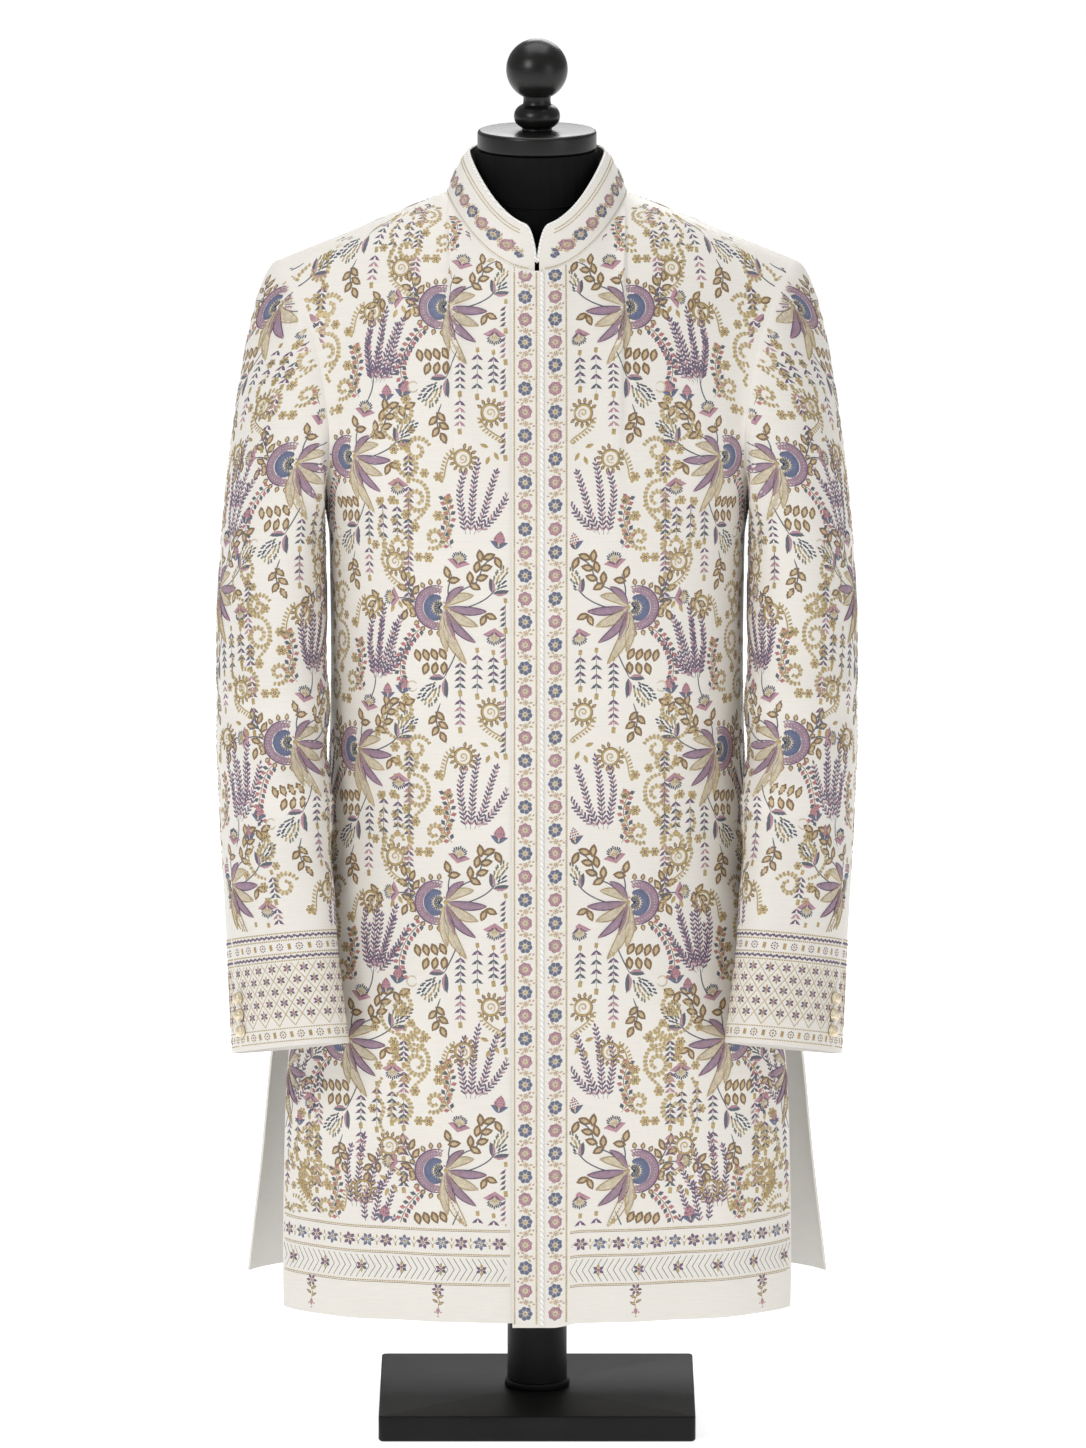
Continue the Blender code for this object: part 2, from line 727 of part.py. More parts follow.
def make_sleeves():
    ring_length = 2 * math.pi * 0.055
    pull = SEAM_GAP / 2 / ring_length
    top_shares = np.linspace(BACK_SLEEVE_SEAM - 1, FRONT_SLEEVE_SEAM, SLEEVE_COLUMNS_EACH + 1)
    under_shares = np.linspace(FRONT_SLEEVE_SEAM, BACK_SLEEVE_SEAM, SLEEVE_COLUMNS_EACH + 1)
    for shares in (top_shares, under_shares):
        shares[0] += pull
        shares[-1] -= pull
    for piece, shares in (("top_sleeve", top_shares), ("under_sleeve", under_shares)):
        outer, inner = sleeve_grid(shares)
        add_shell(f"{piece}_left", outer, inner, ivory_cloth())
        add_shell(f"{piece}_right", mirrored(outer), mirrored(inner), ivory_cloth())


def collar_turns():
    """Turns from the wearer's left end of the collar round the back to the right end, as angles."""
    ends = COLLAR_CORNER * (1 - np.cos(np.linspace(0, math.pi / 2, 6)))
    first = COLLAR_FIRST_TURN + ends / NECK_HALF_WIDTH
    rest = np.linspace(first[-1], math.pi, 16)[1:]
    half = np.concatenate([first, rest])
    return np.concatenate([half, (2 * math.pi - half[:-1])[::-1]])


def collar_base(angle):
    """The neckline at this angle round the neck, from the middle front."""
    side = FRONT if math.cos(angle) >= 0 else BACK
    turn = math.asin(min(1.0, abs(math.sin(angle)))) / (math.pi / 2)
    point = neckline_point(side, neck_part(turn))
    return point if math.sin(angle) >= 0 else point * np.array((-1.0, 1.0, 1.0))


def collar_top(angle):
    depth = COLLAR_TOP_FRONT_DEPTH if math.cos(angle) >= 0 else COLLAR_TOP_BACK_DEPTH
    height = collar_base(angle)[2] + COLLAR_RISE
    return np.array(
        (
            COLLAR_TOP_HALF_WIDTH * math.sin(angle),
            SIDE_SEAM_Y - depth * math.cos(angle),
            height,
        )
    )


def collar_height(angle):
    """The share of its full rise that the collar has, less at its rounded front corners."""
    distance = (min(angle, 2 * math.pi - angle) - COLLAR_FIRST_TURN) * NECK_HALF_WIDTH
    inset = min(max(distance / COLLAR_CORNER, 0.02), 1.0)
    return math.sqrt(1 - (1 - inset) ** 2)


def collar_surface(angle, climb):
    """The collar without its rounded corners, at a share of the full climb."""
    base, top = collar_base(angle), collar_top(angle)
    way = unit(top - base)
    bulge = 0.0015 * math.sin(climb * math.pi)
    outward = unit(np.array((math.sin(angle), -math.cos(angle), 0.3)))
    return base + way * SEAM_GAP / 2 + (top - base) * climb + outward * bulge


def collar_point(angle, rise):
    return collar_surface(angle, rise * collar_height(angle))


def collar_normal(angle, rise):
    """The level direction out of the collar, so that its wall meets the neckline from above."""
    step = 0.02
    climb = rise * collar_height(angle)
    across = collar_surface(angle + step, climb) - collar_surface(angle - step, climb)
    return unit(np.array((across[1], -across[0], 0.0)))


def make_collar():
    outer, inner = [], []
    for rise in np.linspace(0, 1, COLLAR_ROWS + 1):
        outer_row, inner_row = [], []
        for angle in collar_turns():
            point = collar_point(angle, rise)
            outer_row.append(point)
            inner_row.append(point - collar_normal(angle, rise) * COLLAR_WALL)
        outer.append(outer_row)
        inner.append(inner_row)
    add_shell("collar", np.array(outer), np.array(inner), ivory_cloth())


def make_collar_piping():
    """A cord seated on the collar's top edge from end to end."""
    rings = []
    turns = collar_turns()
    middles = np.array(
        [collar_point(turn, 1.0) - collar_normal(turn, 1.0) * COLLAR_WALL / 2 for turn in turns]
    )
    steps = unit(np.diff(middles, axis=0))
    ways = unit(np.concatenate([steps[:1], steps]) + np.concatenate([steps, steps[-1:]]))
    normals = np.array([collar_normal(turn, 1.0) for turn in turns])
    away = unit(np.cross(normals, ways))
    away *= np.sign(away[len(away) // 2, 2])
    centres = middles + away * (COLLAR_PIPING_RADIUS + SEAM_GAP * 1.5)
    for angle, centre, way in zip(turns, centres, ways):
        normal = collar_normal(angle, 1.0)
        side_way = unit(normal - way * float(normal @ way))
        other = np.cross(way, side_way)
        rings.append(
            [
                centre
                + (side_way * math.cos(t) + other * math.sin(t)) * COLLAR_PIPING_RADIUS
                for t in np.linspace(0, 2 * math.pi, 6, endpoint=False)
            ]
        )
    add_loft("collar_piping", rings, white_piping())


def make_front_piping():
    """A flat cord on the overlapping front, down the middle of the coat."""
    rings = []
    for way in coat_rows():
        ring = []
        for across, out in ((-0.5, 0.0), (0.5, 0.0), (0.35, 1.0), (-0.35, 1.0)):
            share = share_of(FRONT_PIPING_X + across * FRONT_PIPING_WIDTH, way)
            here = min(way, 1.985)
            lift, drop = lap_lift(share, way)
            point = coat_point(FRONT, share, here)
            normal = coat_normal(FRONT, share, here)
            point = point + normal * (lift + SEAM_GAP + FRONT_PIPING_HEIGHT * out)
            point[2] -= drop
            ring.append(point)
        rings.append(ring)
    add_loft("front_piping", rings, white_piping())


def make_cuff_buttons():
    for number, height in enumerate(BUTTON_HEIGHTS, start=1):
        way = 1 + (ARM_TOP - height) / (ARM_TOP - CUFF_HEIGHT)
        base = sleeve_point(BUTTON_SHARE, way)
        normal = sleeve_normal(BUTTON_SHARE, way)
        along = unit(np.cross(normal, np.array((0.0, 0.0, 1.0))))
        across = np.cross(normal, along)
        radius = BUTTON_DIAMETER / 2
        profile = ((0.60, 0.0), (1.0, 0.22), (0.93, 0.52), (0.66, 0.84), (0.28, 1.0))
        rings = []
        for share, rise in profile:
            centre = base + normal * (SEAM_GAP * 1.6 + BUTTON_DOME * rise)
            rings.append(
                [
                    centre + (along * math.cos(t) + across * math.sin(t)) * radius * share
                    for t in np.linspace(0, 2 * math.pi, 10, endpoint=False)
                ]
            )
        rings = np.array(rings)
        add_loft(f"cuff_button_left_{number}", rings, button_metal())
        add_loft(f"cuff_button_right_{number}", mirrored(rings), button_metal())


# Dress form and stand


def ridge_height(x):
    """The height under the shoulder seam's cloth where the form carries it."""
    slope = (SHOULDER_TIP[2] - NECK_POINT_HEIGHT) / (SHOULDER_TIP[0] - NECK_HALF_WIDTH)
    down = WALL * math.hypot(1.0, slope) + SEAT_DROP
    return NECK_POINT_HEIGHT + slope * (x - NECK_HALF_WIDTH) - down


def make_torso():
    """The form's body and neck in one smooth piece, shaped by rings that rise at the sides."""
    neck_front = NECK_RADIUS + SIDE_SEAM_Y
    neck_back = NECK_RADIUS - SIDE_SEAM_Y
    # Columns: height in front, at the side and behind, half width, depth in front and behind, power
    rings = (
        (TORSO_BOTTOM, TORSO_BOTTOM, TORSO_BOTTOM, 0.158, 0.100, 0.082, 2.3),
        (TORSO_BOTTOM + 0.006, TORSO_BOTTOM + 0.006, TORSO_BOTTOM + 0.006, 0.165, 0.106, 0.088, 2.3),
        (0.560, 0.560, 0.560, 0.166, 0.108, 0.090, 2.3),
        (0.660, 0.660, 0.660, 0.165, 0.108, 0.092, 2.3),
        (0.755, 0.755, 0.755, 0.166, 0.110, 0.098, 2.3),
        (0.830, 0.830, 0.835, 0.163, 0.104, 0.098, 2.2),
        (0.880, 0.885, 0.880, 0.166, 0.096, 0.094, 2.1),
        (0.915, 0.935, 0.915, 0.176, 0.086, 0.086, 2.0),
        (0.935, ridge_height(0.186) - 0.010, 0.935, 0.186, 0.066, 0.066, 2.0),
        (0.948, ridge_height(0.176) - 0.0035, 0.948, 0.176, 0.060, 0.060, 2.0),
        (0.962, ridge_height(0.150) - 0.0008, 0.970, 0.150, 0.058, 0.058, 2.0),
        (0.975, ridge_height(0.115), 0.990, 0.115, 0.058, 0.055, 2.0),
        (0.988, ridge_height(0.085), 1.008, 0.085, 0.057, 0.050, 2.0),
        (1.002, ridge_height(0.064), 1.025, 0.064, 0.0565, 0.047, 2.0),
        (1.030, 1.052, 1.048, 0.0525, neck_front, neck_back, 2.0),
        (NECK_TOP, NECK_TOP, NECK_TOP, NECK_RADIUS, neck_front, neck_back, 2.0),
    )
    steps = 30
    rows = []
    for front_z, side_z, back_z, half_width, front, back, power in rings:
        row = []
        for k in range(steps):
            angle = 2 * math.pi * k / steps
            ahead = math.cos(angle)
            depth = front if ahead >= 0 else back
            middle_z = front_z if ahead >= 0 else back_z
            x = half_width * math.copysign(abs(math.sin(angle)) ** (2 / power), math.sin(angle))
            y = SIDE_SEAM_Y - depth * math.copysign(abs(ahead) ** (2 / power), ahead)
            fall = abs(ahead) ** RIDGE_ROUNDNESS
            row.append((x, y, side_z + (middle_z - side_z) * fall))
        rows.append(row)
    add_loft("form_torso", rows, black_jersey())


def make_cap_and_finial():
    low = NECK_TOP + SEAM_GAP
    high = low + CAP_HEIGHT
    edge = [
        (CAP_RADIUS - CAP_EDGE * (1 - math.cos(t)), low + CAP_EDGE * (1 - math.sin(t)))
        for t in np.radians((90, 50, 20))
    ]
    top_edge_rows = [
        (CAP_RADIUS - CAP_EDGE * (1 - math.cos(t)), high - CAP_EDGE * (1 - math.sin(t)))
        for t in np.radians((0, 30, 60, 90))
    ]
    edge[0] = (CAP_RADIUS - CAP_EDGE, low)
    turned("form_neck_cap", edge + top_edge_rows, black_wood(), steps=36)

    base = high + SEAM_GAP
    bead_middle = base + BEAD_HEIGHT / 2
    profile = [(BEAD_RADIUS * 0.62, base)]
    for t in np.radians((-50, -25, 0, 25, 50)):
        profile.append((BEAD_RADIUS * math.cos(t) ** 0.8, bead_middle + BEAD_HEIGHT / 2 * math.sin(t)))
    waist_low = base + BEAD_HEIGHT
    profile.append((WAIST_RADIUS, waist_low))
    profile.append((WAIST_RADIUS, waist_low + WAIST_HEIGHT))
    ball_low = math.asin(-math.sqrt(1 - (WAIST_RADIUS * 1.12 / BALL_RADIUS) ** 2))
    ball_middle = waist_low + WAIST_HEIGHT - BALL_RADIUS * math.sin(ball_low) - 0.0005
    for t in np.linspace(ball_low, math.radians(80), 12):
        profile.append((BALL_RADIUS * math.cos(t), ball_middle + BALL_RADIUS * math.sin(t)))
    turned("form_finial", profile, black_wood())


def make_stand():
    low = PLATE_THICKNESS + SEAM_GAP
    ring = (
        (POLE_RING_RADIUS - 0.0008, low),
        (POLE_RING_RADIUS, low + 0.0008),
        (POLE_RING_RADIUS, low + POLE_RING_HEIGHT - 0.0012),
        (POLE_RING_RADIUS - 0.0012, low + POLE_RING_HEIGHT),
    )
    turned("form_pole_ring", ring, black_metal(), steps=32)
    pole_low = low + POLE_RING_HEIGHT + SEAM_GAP
    pole = ((POLE_RADIUS, pole_low), (POLE_RADIUS, TORSO_BOTTOM - SEAM_GAP))
    turned("form_pole", pole, black_metal(), steps=32)

    half_x, half_y, bevel = PLATE_WIDTH / 2, PLATE_DEPTH / 2, PLATE_BEVEL
    corner = 0.004

    def outline(inset, height):
        points = []
        for sign_x, sign_y, first in ((1, 1, 0), (-1, 1, 90), (-1, -1, 180), (1, -1, 270)):
            for degrees in (0, 30, 60, 90):
                turn = math.radians(first + degrees)
                radius = corner - inset
                points.append(
                    (
                        sign_x * (half_x - corner) + radius * math.cos(turn),
                        sign_y * (half_y - corner) + radius * math.sin(turn),
                        height,
                    )
                )
        return points

    rings = (
        outline(bevel, 0.0),
        outline(0.0, bevel),
        outline(0.0, PLATE_THICKNESS - bevel),
        outline(bevel * 0.3, PLATE_THICKNESS - bevel * 0.3),
        outline(bevel, PLATE_THICKNESS),
    )
    add_loft("form_base_plate", rings, black_metal())


def main():
    for old in list(bpy.data.objects):
        bpy.data.objects.remove(old, do_unlink=True)
    make_stand()
    make_torso()
    make_cap_and_finial()
    make_fronts()
    make_back()
    make_sleeves()
    make_collar()
    make_collar_piping()
    make_front_piping()
    make_cuff_buttons()


main()
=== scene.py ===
"""Looks for the sherwani coat on its dress form.

Metres, in the CAD's frame: the coat faces -Y, and its wearer's left is at +X.
The cloth repeats the CAD's sizes and surface functions on a finer grid, and
the thread work is drawn flat in millimetres, then laid on that grid.
"""

import functools
import math

import bpy
import numpy as np
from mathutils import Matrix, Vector

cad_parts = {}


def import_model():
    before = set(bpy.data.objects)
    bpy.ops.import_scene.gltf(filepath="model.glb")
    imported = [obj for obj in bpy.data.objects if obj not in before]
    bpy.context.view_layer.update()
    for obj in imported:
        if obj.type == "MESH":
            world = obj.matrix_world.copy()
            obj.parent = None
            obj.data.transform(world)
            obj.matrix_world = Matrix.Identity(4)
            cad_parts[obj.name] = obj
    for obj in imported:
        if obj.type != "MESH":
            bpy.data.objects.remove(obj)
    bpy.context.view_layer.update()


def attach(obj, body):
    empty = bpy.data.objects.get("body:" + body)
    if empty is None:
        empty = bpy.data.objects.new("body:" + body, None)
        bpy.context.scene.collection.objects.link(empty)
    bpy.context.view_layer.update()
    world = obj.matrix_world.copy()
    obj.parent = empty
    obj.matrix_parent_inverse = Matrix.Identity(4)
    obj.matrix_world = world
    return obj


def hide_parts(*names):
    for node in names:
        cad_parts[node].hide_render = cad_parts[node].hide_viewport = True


# Coat sizes, as in the CAD
WALL = 0.002
COLLAR_WALL = 0.0026
SEAM_GAP = 0.0003
LAP_LIFT = WALL + SEAM_GAP
SIDE_SEAM_Y = 0.005
SECTION_POWER = 2.5
BODY_COLUMNS = (
    "height",
    "front_half_width",
    "back_half_width",
    "front_depth",
    "back_depth",
    "front_edge_y",
    "back_edge_y",
)
BODY_SECTIONS = (
    (0.1075, 0.2359, 0.2615, 0.1350, 0.1250, -0.070, 0.060),
    (0.2100, 0.2235, 0.2440, 0.1325, 0.1220, -0.052, 0.051),
    (0.3180, 0.2115, 0.2280, 0.1300, 0.1180, -0.030, 0.040),
    (0.4000, 0.1975, 0.2040, 0.1275, 0.1120, -0.010, 0.019),
    (0.4550, 0.1860, 0.1860, 0.1255, 0.1080, 0.005, 0.005),
    (0.5600, 0.1745, 0.1745, 0.1200, 0.0980, 0.005, 0.005),
    (0.6600, 0.1725, 0.1725, 0.1190, 0.0990, 0.005, 0.005),
    (0.7550, 0.1735, 0.1735, 0.1200, 0.1060, 0.005, 0.005),
)
HEM_HEIGHT = BODY_SECTIONS[0][0]
CHEST_HEIGHT = BODY_SECTIONS[-1][0]
NECK_SHARE = 0.30
NECK_HALF_WIDTH = 0.0748
NECK_FRONT_DEPTH = 0.0970
NECK_BACK_DEPTH = 0.0630
NECK_FRONT_HEIGHT = 0.9905
NECK_POINT_HEIGHT = 1.0416
NECK_BACK_HEIGHT = 1.0460
SHOULDER_TIP = np.array((0.2165, SIDE_SEAM_Y, 0.9840))
NECK_POINT = np.array((NECK_HALF_WIDTH, SIDE_SEAM_Y, NECK_POINT_HEIGHT))
SHOULDER_SEAM = (SHOULDER_TIP - NECK_POINT) / np.linalg.norm(SHOULDER_TIP - NECK_POINT)
TIP_SPREAD = 0.25
UNDERARM_WAY = 1.12
ARMHOLE_PULL_IN = 3.0
# Columns: x, y, z
ARMHOLE = (
    (0.2165, 0.005, 0.9840),
    (0.2025, -0.028, 0.9687),
    (0.1931, -0.045, 0.9487),
    (0.1822, -0.058, 0.9180),
    (0.1735, -0.064, 0.8646),
    (0.1728, -0.056, 0.8260),
    (0.1765, -0.030, 0.7970),
    (0.1795, 0.005, 0.7900),
    (0.1800, 0.036, 0.8000),
    (0.1785, 0.060, 0.8320),
    (0.1810, 0.071, 0.8720),
    (0.1880, 0.067, 0.9220),
    (0.1985, 0.050, 0.9560),
    (0.2085, 0.028, 0.9740),
)
SLEEVE_COLUMNS = ("height", "outer_x", "inner_x", "centre_y", "half_long", "slant_degrees")
SLEEVE_RINGS = (
    (0.735, 0.2650, 0.1758, -0.012, 0.0660, 12.0),
    (0.669, 0.2680, 0.1752, -0.024, 0.0635, 16.0),
    (0.590, 0.2675, 0.1737, -0.041, 0.0605, 22.0),
    (0.504, 0.2640, 0.1712, -0.062, 0.0585, 30.0),
    (0.428, 0.2595, 0.1666, -0.084, 0.0575, 38.0),
    (0.338, 0.2548, 0.1562, -0.107, 0.0580, 45.0),
)
ARM_TOP = SLEEVE_RINGS[0][0]
CUFF_HEIGHT = SLEEVE_RINGS[-1][0]
BACK_SLEEVE_SEAM = 0.9375
OVERLAP_WIDTH = 0.0205
LAP_FLAT = 0.0130
LAP_RAMP = 0.0240
OVERLAP_DROP = 0.0035
FRONT_PIPING_X = 0.0042
COLLAR_TOP_HALF_WIDTH = 0.0585
COLLAR_TOP_FRONT_DEPTH = 0.0830
COLLAR_TOP_BACK_DEPTH = 0.0585
COLLAR_RISE = 0.0340
COLLAR_CORNER = 0.0120
COLLAR_PIPING_RADIUS = 0.0012
SKIRT_WAVE_DEPTH = 0.0022
SKIRT_WAVE_TOP = 0.4300
BROAD_WAVES = 9.0
NARROW_WAVES = 21.0
FRONT_WAVE_START = 0.6
BACK_WAVE_START = 2.1
WAVE_FREE_SHARES = (0.06, 0.25)
ELBOW_HEIGHT = 0.5700
ELBOW_FOLD_DEPTH = 0.0026

FRONT, BACK = -1, 1


# Surface functions, as in the CAD


def table(rows, column, height):
    """A column of a table at these heights, on a smooth curve that never overshoots."""
    xs = np.array([row[0] for row in rows])
    ys = np.array([row[column] for row in rows])
    steps = np.diff(xs)
    slopes = np.diff(ys) / steps
    tangents = np.zeros(len(xs))
    same_way = slopes[:-1] * slopes[1:] > 0
    before = 2 * steps[1:] + steps[:-1]
    after = steps[1:] + 2 * steps[:-1]
    with np.errstate(divide="ignore", invalid="ignore"):
        middle = (before + after) / (before / slopes[:-1] + after / slopes[1:])
    tangents[1:-1] = np.where(same_way, middle, 0.0)
    tangents[0], tangents[-1] = slopes[0], slopes[-1]
    height = np.clip(height, min(xs[0], xs[-1]), max(xs[0], xs[-1]))
    at = np.clip(np.searchsorted(xs, height) - 1, 0, len(steps) - 1)
    t = (height - xs[at]) / steps[at]
    return hermite(ys[at], tangents[at] * steps[at], ys[at + 1], tangents[at + 1] * steps[at], t)


def hermite(start, leave, end, arrive, t):
    """A cubic from start to end that leaves and arrives with these tangents."""
    return (
        (2 * t**3 - 3 * t**2 + 1) * start
        + (t**3 - 2 * t**2 + t) * leave
        + (3 * t**2 - 2 * t**3) * end
        + (t**3 - t**2) * arrive
    )


def smooth(low, high, value):
    """0 below low, 1 above high, and a smooth step between them."""
    t = np.clip((value - low) / (high - low), 0.0, 1.0)
    return t * t * (3 - 2 * t)


def unit(vector):
    return vector / np.maximum(np.linalg.norm(vector, axis=-1, keepdims=True), 1e-12)


@functools.lru_cache(maxsize=None)
def body_size(column, height):
    return float(table(BODY_SECTIONS, BODY_COLUMNS.index(column), height))


@functools.lru_cache(maxsize=None)
def sleeve_size(column, height):
    return float(table(tuple(reversed(SLEEVE_RINGS)), SLEEVE_COLUMNS.index(column), height))


@functools.lru_cache(maxsize=None)
def section(side, height):
    """Half width, depth, and lengths along the level section with their angles."""
    name = "front" if side == FRONT else "back"
    half_width = body_size(f"{name}_half_width", height)
    depth = body_size(f"{name}_depth", height)
    edge_y = body_size(f"{name}_edge_y", height)
    edge = np.clip(side * (edge_y - SIDE_SEAM_Y) / depth, 0.0, 1.0)
    last = math.acos(edge ** (SECTION_POWER / 2))
    angles = np.linspace(0.0, last, 240)
    xs = half_width * np.sin(angles) ** (2 / SECTION_POWER)
    ys = depth * np.cos(angles) ** (2 / SECTION_POWER)
    lengths = np.concatenate([[0.0], np.cumsum(np.hypot(np.diff(xs), np.diff(ys)))])
    return half_width, depth, lengths, angles


def section_point(side, share, height):
    """A point of the level section, at a share of the way from its middle to its edge."""
    half_width, depth, lengths, angles = section(side, height)
    angle = np.interp(share * lengths[-1], lengths, angles)
    x = half_width * math.sin(angle) ** (2 / SECTION_POWER)
    y = SIDE_SEAM_Y + side * depth * math.cos(angle) ** (2 / SECTION_POWER)
    return np.array((x, y, height))


def section_length(side, height):
    return section(side, height)[2][-1]


def neck_turn(part):
    """The turn round the neck of this part of its columns, so that the columns run upright."""
    return 2 / math.pi * part + (1 - 2 / math.pi) * part**3


def neck_part(turn):
    parts = np.linspace(0.0, 1.0, 201)
    return float(np.interp(turn, neck_turn(parts), parts))


def neckline_point(side, part):
    """A point of the neckline, with part 0 at the middle and 1 at the shoulder seam."""
    angle = neck_turn(part) * math.pi / 2
    depth = NECK_FRONT_DEPTH if side == FRONT else NECK_BACK_DEPTH
    middle = NECK_FRONT_HEIGHT if side == FRONT else NECK_BACK_HEIGHT
    height = middle + (NECK_POINT_HEIGHT - middle) * math.sin(angle) ** 2
    return np.array(
        (NECK_HALF_WIDTH * math.sin(angle), SIDE_SEAM_Y + side * depth * math.cos(angle), height)
    )


@functools.lru_cache(maxsize=None)
def closed_curve(rows):
    """Points of the smooth closed curve through these rows, and the lengths along it."""
    points = np.array(rows)
    count = len(points)
    fine = []
    for i in range(count):
        before, here, there, after = (points[(i + k) % count] for k in (-1, 0, 1, 2))
        for t in np.linspace(0, 1, 16, endpoint=False):
            fine.append(hermite(here, (there - before) / 2, there, (after - here) / 2, t))
    fine = np.array(fine + [fine[0]])
    lengths = np.concatenate([[0.0], np.cumsum(np.linalg.norm(np.diff(fine, axis=0), axis=1))])
    return fine, lengths


def armhole_point(share):
    """Share 0 is the shoulder tip, and the front of the armhole comes first."""
    fine, lengths = closed_curve(ARMHOLE)
    at = (share % 1.0) * lengths[-1]
    return np.array([np.interp(at, lengths, fine[:, axis]) for axis in range(3)])


def side_edge(side, way):
    """The panel's side edge: up the side seam to the armhole, then round it to the shoulder."""
    if way >= UNDERARM_WAY:
        along = 0.5 * (way - UNDERARM_WAY) / (2 - UNDERARM_WAY)
        return armhole_point(0.5 - along if side == FRONT else 0.5 + along)
    start = section_point(side, 1.0, CHEST_HEIGHT)
    return start + (armhole_point(0.5) - start) * (way - 1) / (UNDERARM_WAY - 1)


def top_edge(side, share):
    """Where the column at this share of the chest ends, and the way it points there."""
    over_ridge = np.array((0.0, -float(side), 0.0))
    if share <= NECK_SHARE:
        part = share / NECK_SHARE
        weight = neck_turn(part) ** 2
        lean = 0.25 if side == FRONT else 0.35
        upright = np.array((0.0, -side * lean, 1.0))
        return neckline_point(side, part), unit(upright * (1 - weight) + over_ridge * weight)
    along = (share - NECK_SHARE) / (1 - NECK_SHARE)
    point = NECK_POINT + (SHOULDER_TIP - NECK_POINT) * along
    return point, unit(over_ridge + TIP_SPREAD * along * SHOULDER_SEAM)


def rising_point(side, share, rise):
    """A column of cloth on its way from the chest to the neckline or the shoulder seam."""
    start = section_point(side, share, CHEST_HEIGHT)
    below = section_point(side, share, CHEST_HEIGHT - 0.03)
    end, arrive = top_edge(side, share)
    reach = np.linalg.norm(end - start)
    return hermite(start, unit(start - below) * reach, end, arrive * reach * 0.95, rise)


@functools.lru_cache(maxsize=None)
def edge_shift(side, way):
    return side_edge(side, way) - rising_point(side, 1.0, way - 1)


def coat_point(side, share, way):
    """The coat's outer surface. way is 0 at the hem, 1 at the chest and 2 at the top edge."""
    if share < 0:
        return coat_point(side, -share, way) * np.array((-1.0, 1.0, 1.0))
    if way > 1:
        return rising_point(side, share, way - 1) + edge_shift(side, way) * share**ARMHOLE_PULL_IN
    height = HEM_HEIGHT + (CHEST_HEIGHT - HEM_HEIGHT) * way
    point = section_point(side, share, height)
    start = FRONT_WAVE_START if side == FRONT else BACK_WAVE_START
    wave = math.sin(share * BROAD_WAVES + start) + 0.5 * math.sin(share * NARROW_WAVES)
    depth = SKIRT_WAVE_DEPTH * wave * (1 - smooth(HEM_HEIGHT, SKIRT_WAVE_TOP, height))
    hold = smooth(*WAVE_FREE_SHARES, share)
    middle = np.array((0.0, SIDE_SEAM_Y, height))
    return point + unit(point - middle) * depth * hold


def height_of(way):
    return HEM_HEIGHT + (CHEST_HEIGHT - HEM_HEIGHT) * min(way, 1.0)


def share_of(distance, way):
    """The share of the section at this distance from the middle of the front."""
    level = distance / section_length(FRONT, height_of(way))
    turn = math.asin(abs(distance) / NECK_HALF_WIDTH) / (math.pi / 2)
    at_neck = math.copysign(neck_part(turn), distance) * NECK_SHARE
    rise = max(way - 1.0, 0.0)
    return level * (1 - rise) + at_neck * rise


def sleeve_centre(height):
    outer, inner = sleeve_size("outer_x", height), sleeve_size("inner_x", height)
    return np.array(((outer + inner) / 2, sleeve_size("centre_y", height), height))


def ring_point(share, height):
    """A point of the sleeve's ring. The ring tips so that it stands square to the sleeve."""
    centre = sleeve_centre(height)
    across = (sleeve_size("outer_x", height) - sleeve_size("inner_x", height)) / 2
    half_long = sleeve_size("half_long", height)
    slant = math.radians(sleeve_size("slant_degrees", height))
    half_short = math.sqrt(across**2 - (half_long * math.sin(slant)) ** 2) / math.cos(slant)
    turn = share * 2 * math.pi
    forward = np.array((-math.sin(slant), -math.cos(slant), 0.0))
    outward = np.array((math.cos(slant), -math.sin(slant), 0.0))
    offset = outward * half_short * math.cos(turn) + forward * half_long * math.sin(turn)
    tip = smooth(0.0, 1.0, (ARM_TOP - height) / (ARM_TOP - CUFF_HEIGHT))
    above, below = min(height + 0.02, ARM_TOP), max(height - 0.02, CUFF_HEIGHT)
    fall = sleeve_centre(above) - sleeve_centre(below)
    slope = fall[:2] / fall[2]
    offset[2] = -tip * float(slope @ offset[:2])
    bend = (height - ELBOW_HEIGHT) / 0.045
    fold = math.cos(bend * 3.2 + turn) * math.exp(-bend * bend / 3)
    inside = 0.5 + 0.5 * math.sin(turn - 0.5)
    return centre + offset * (1 + ELBOW_FOLD_DEPTH * fold * inside / half_short)


def sleeve_point(share, way):
    """The sleeve's outer surface. way is 0 at the armhole, 1 at the upper arm, 2 at the cuff."""
    if way >= 1:
        return ring_point(share, ARM_TOP + (CUFF_HEIGHT - ARM_TOP) * (way - 1))
    start = armhole_point(share)
    end = ring_point(share, ARM_TOP)
    below = ring_point(share, ARM_TOP - 0.02)
    top = math.cos(share * 2 * math.pi)
    front = math.sin(share * 2 * math.pi)
    leave = unit(np.array((0.55 + 0.5 * top, -0.45 * front, -(0.70 - 0.25 * top))))
    reach = np.linalg.norm(end - start)
    return hermite(start, leave * reach * (0.45 - 0.15 * top), end, unit(below - end) * reach, way)


# Fine grids


def normals_of(grid):
    across = np.gradient(grid, axis=1)
    along = np.gradient(grid, axis=0)
    return unit(np.cross(across, along))


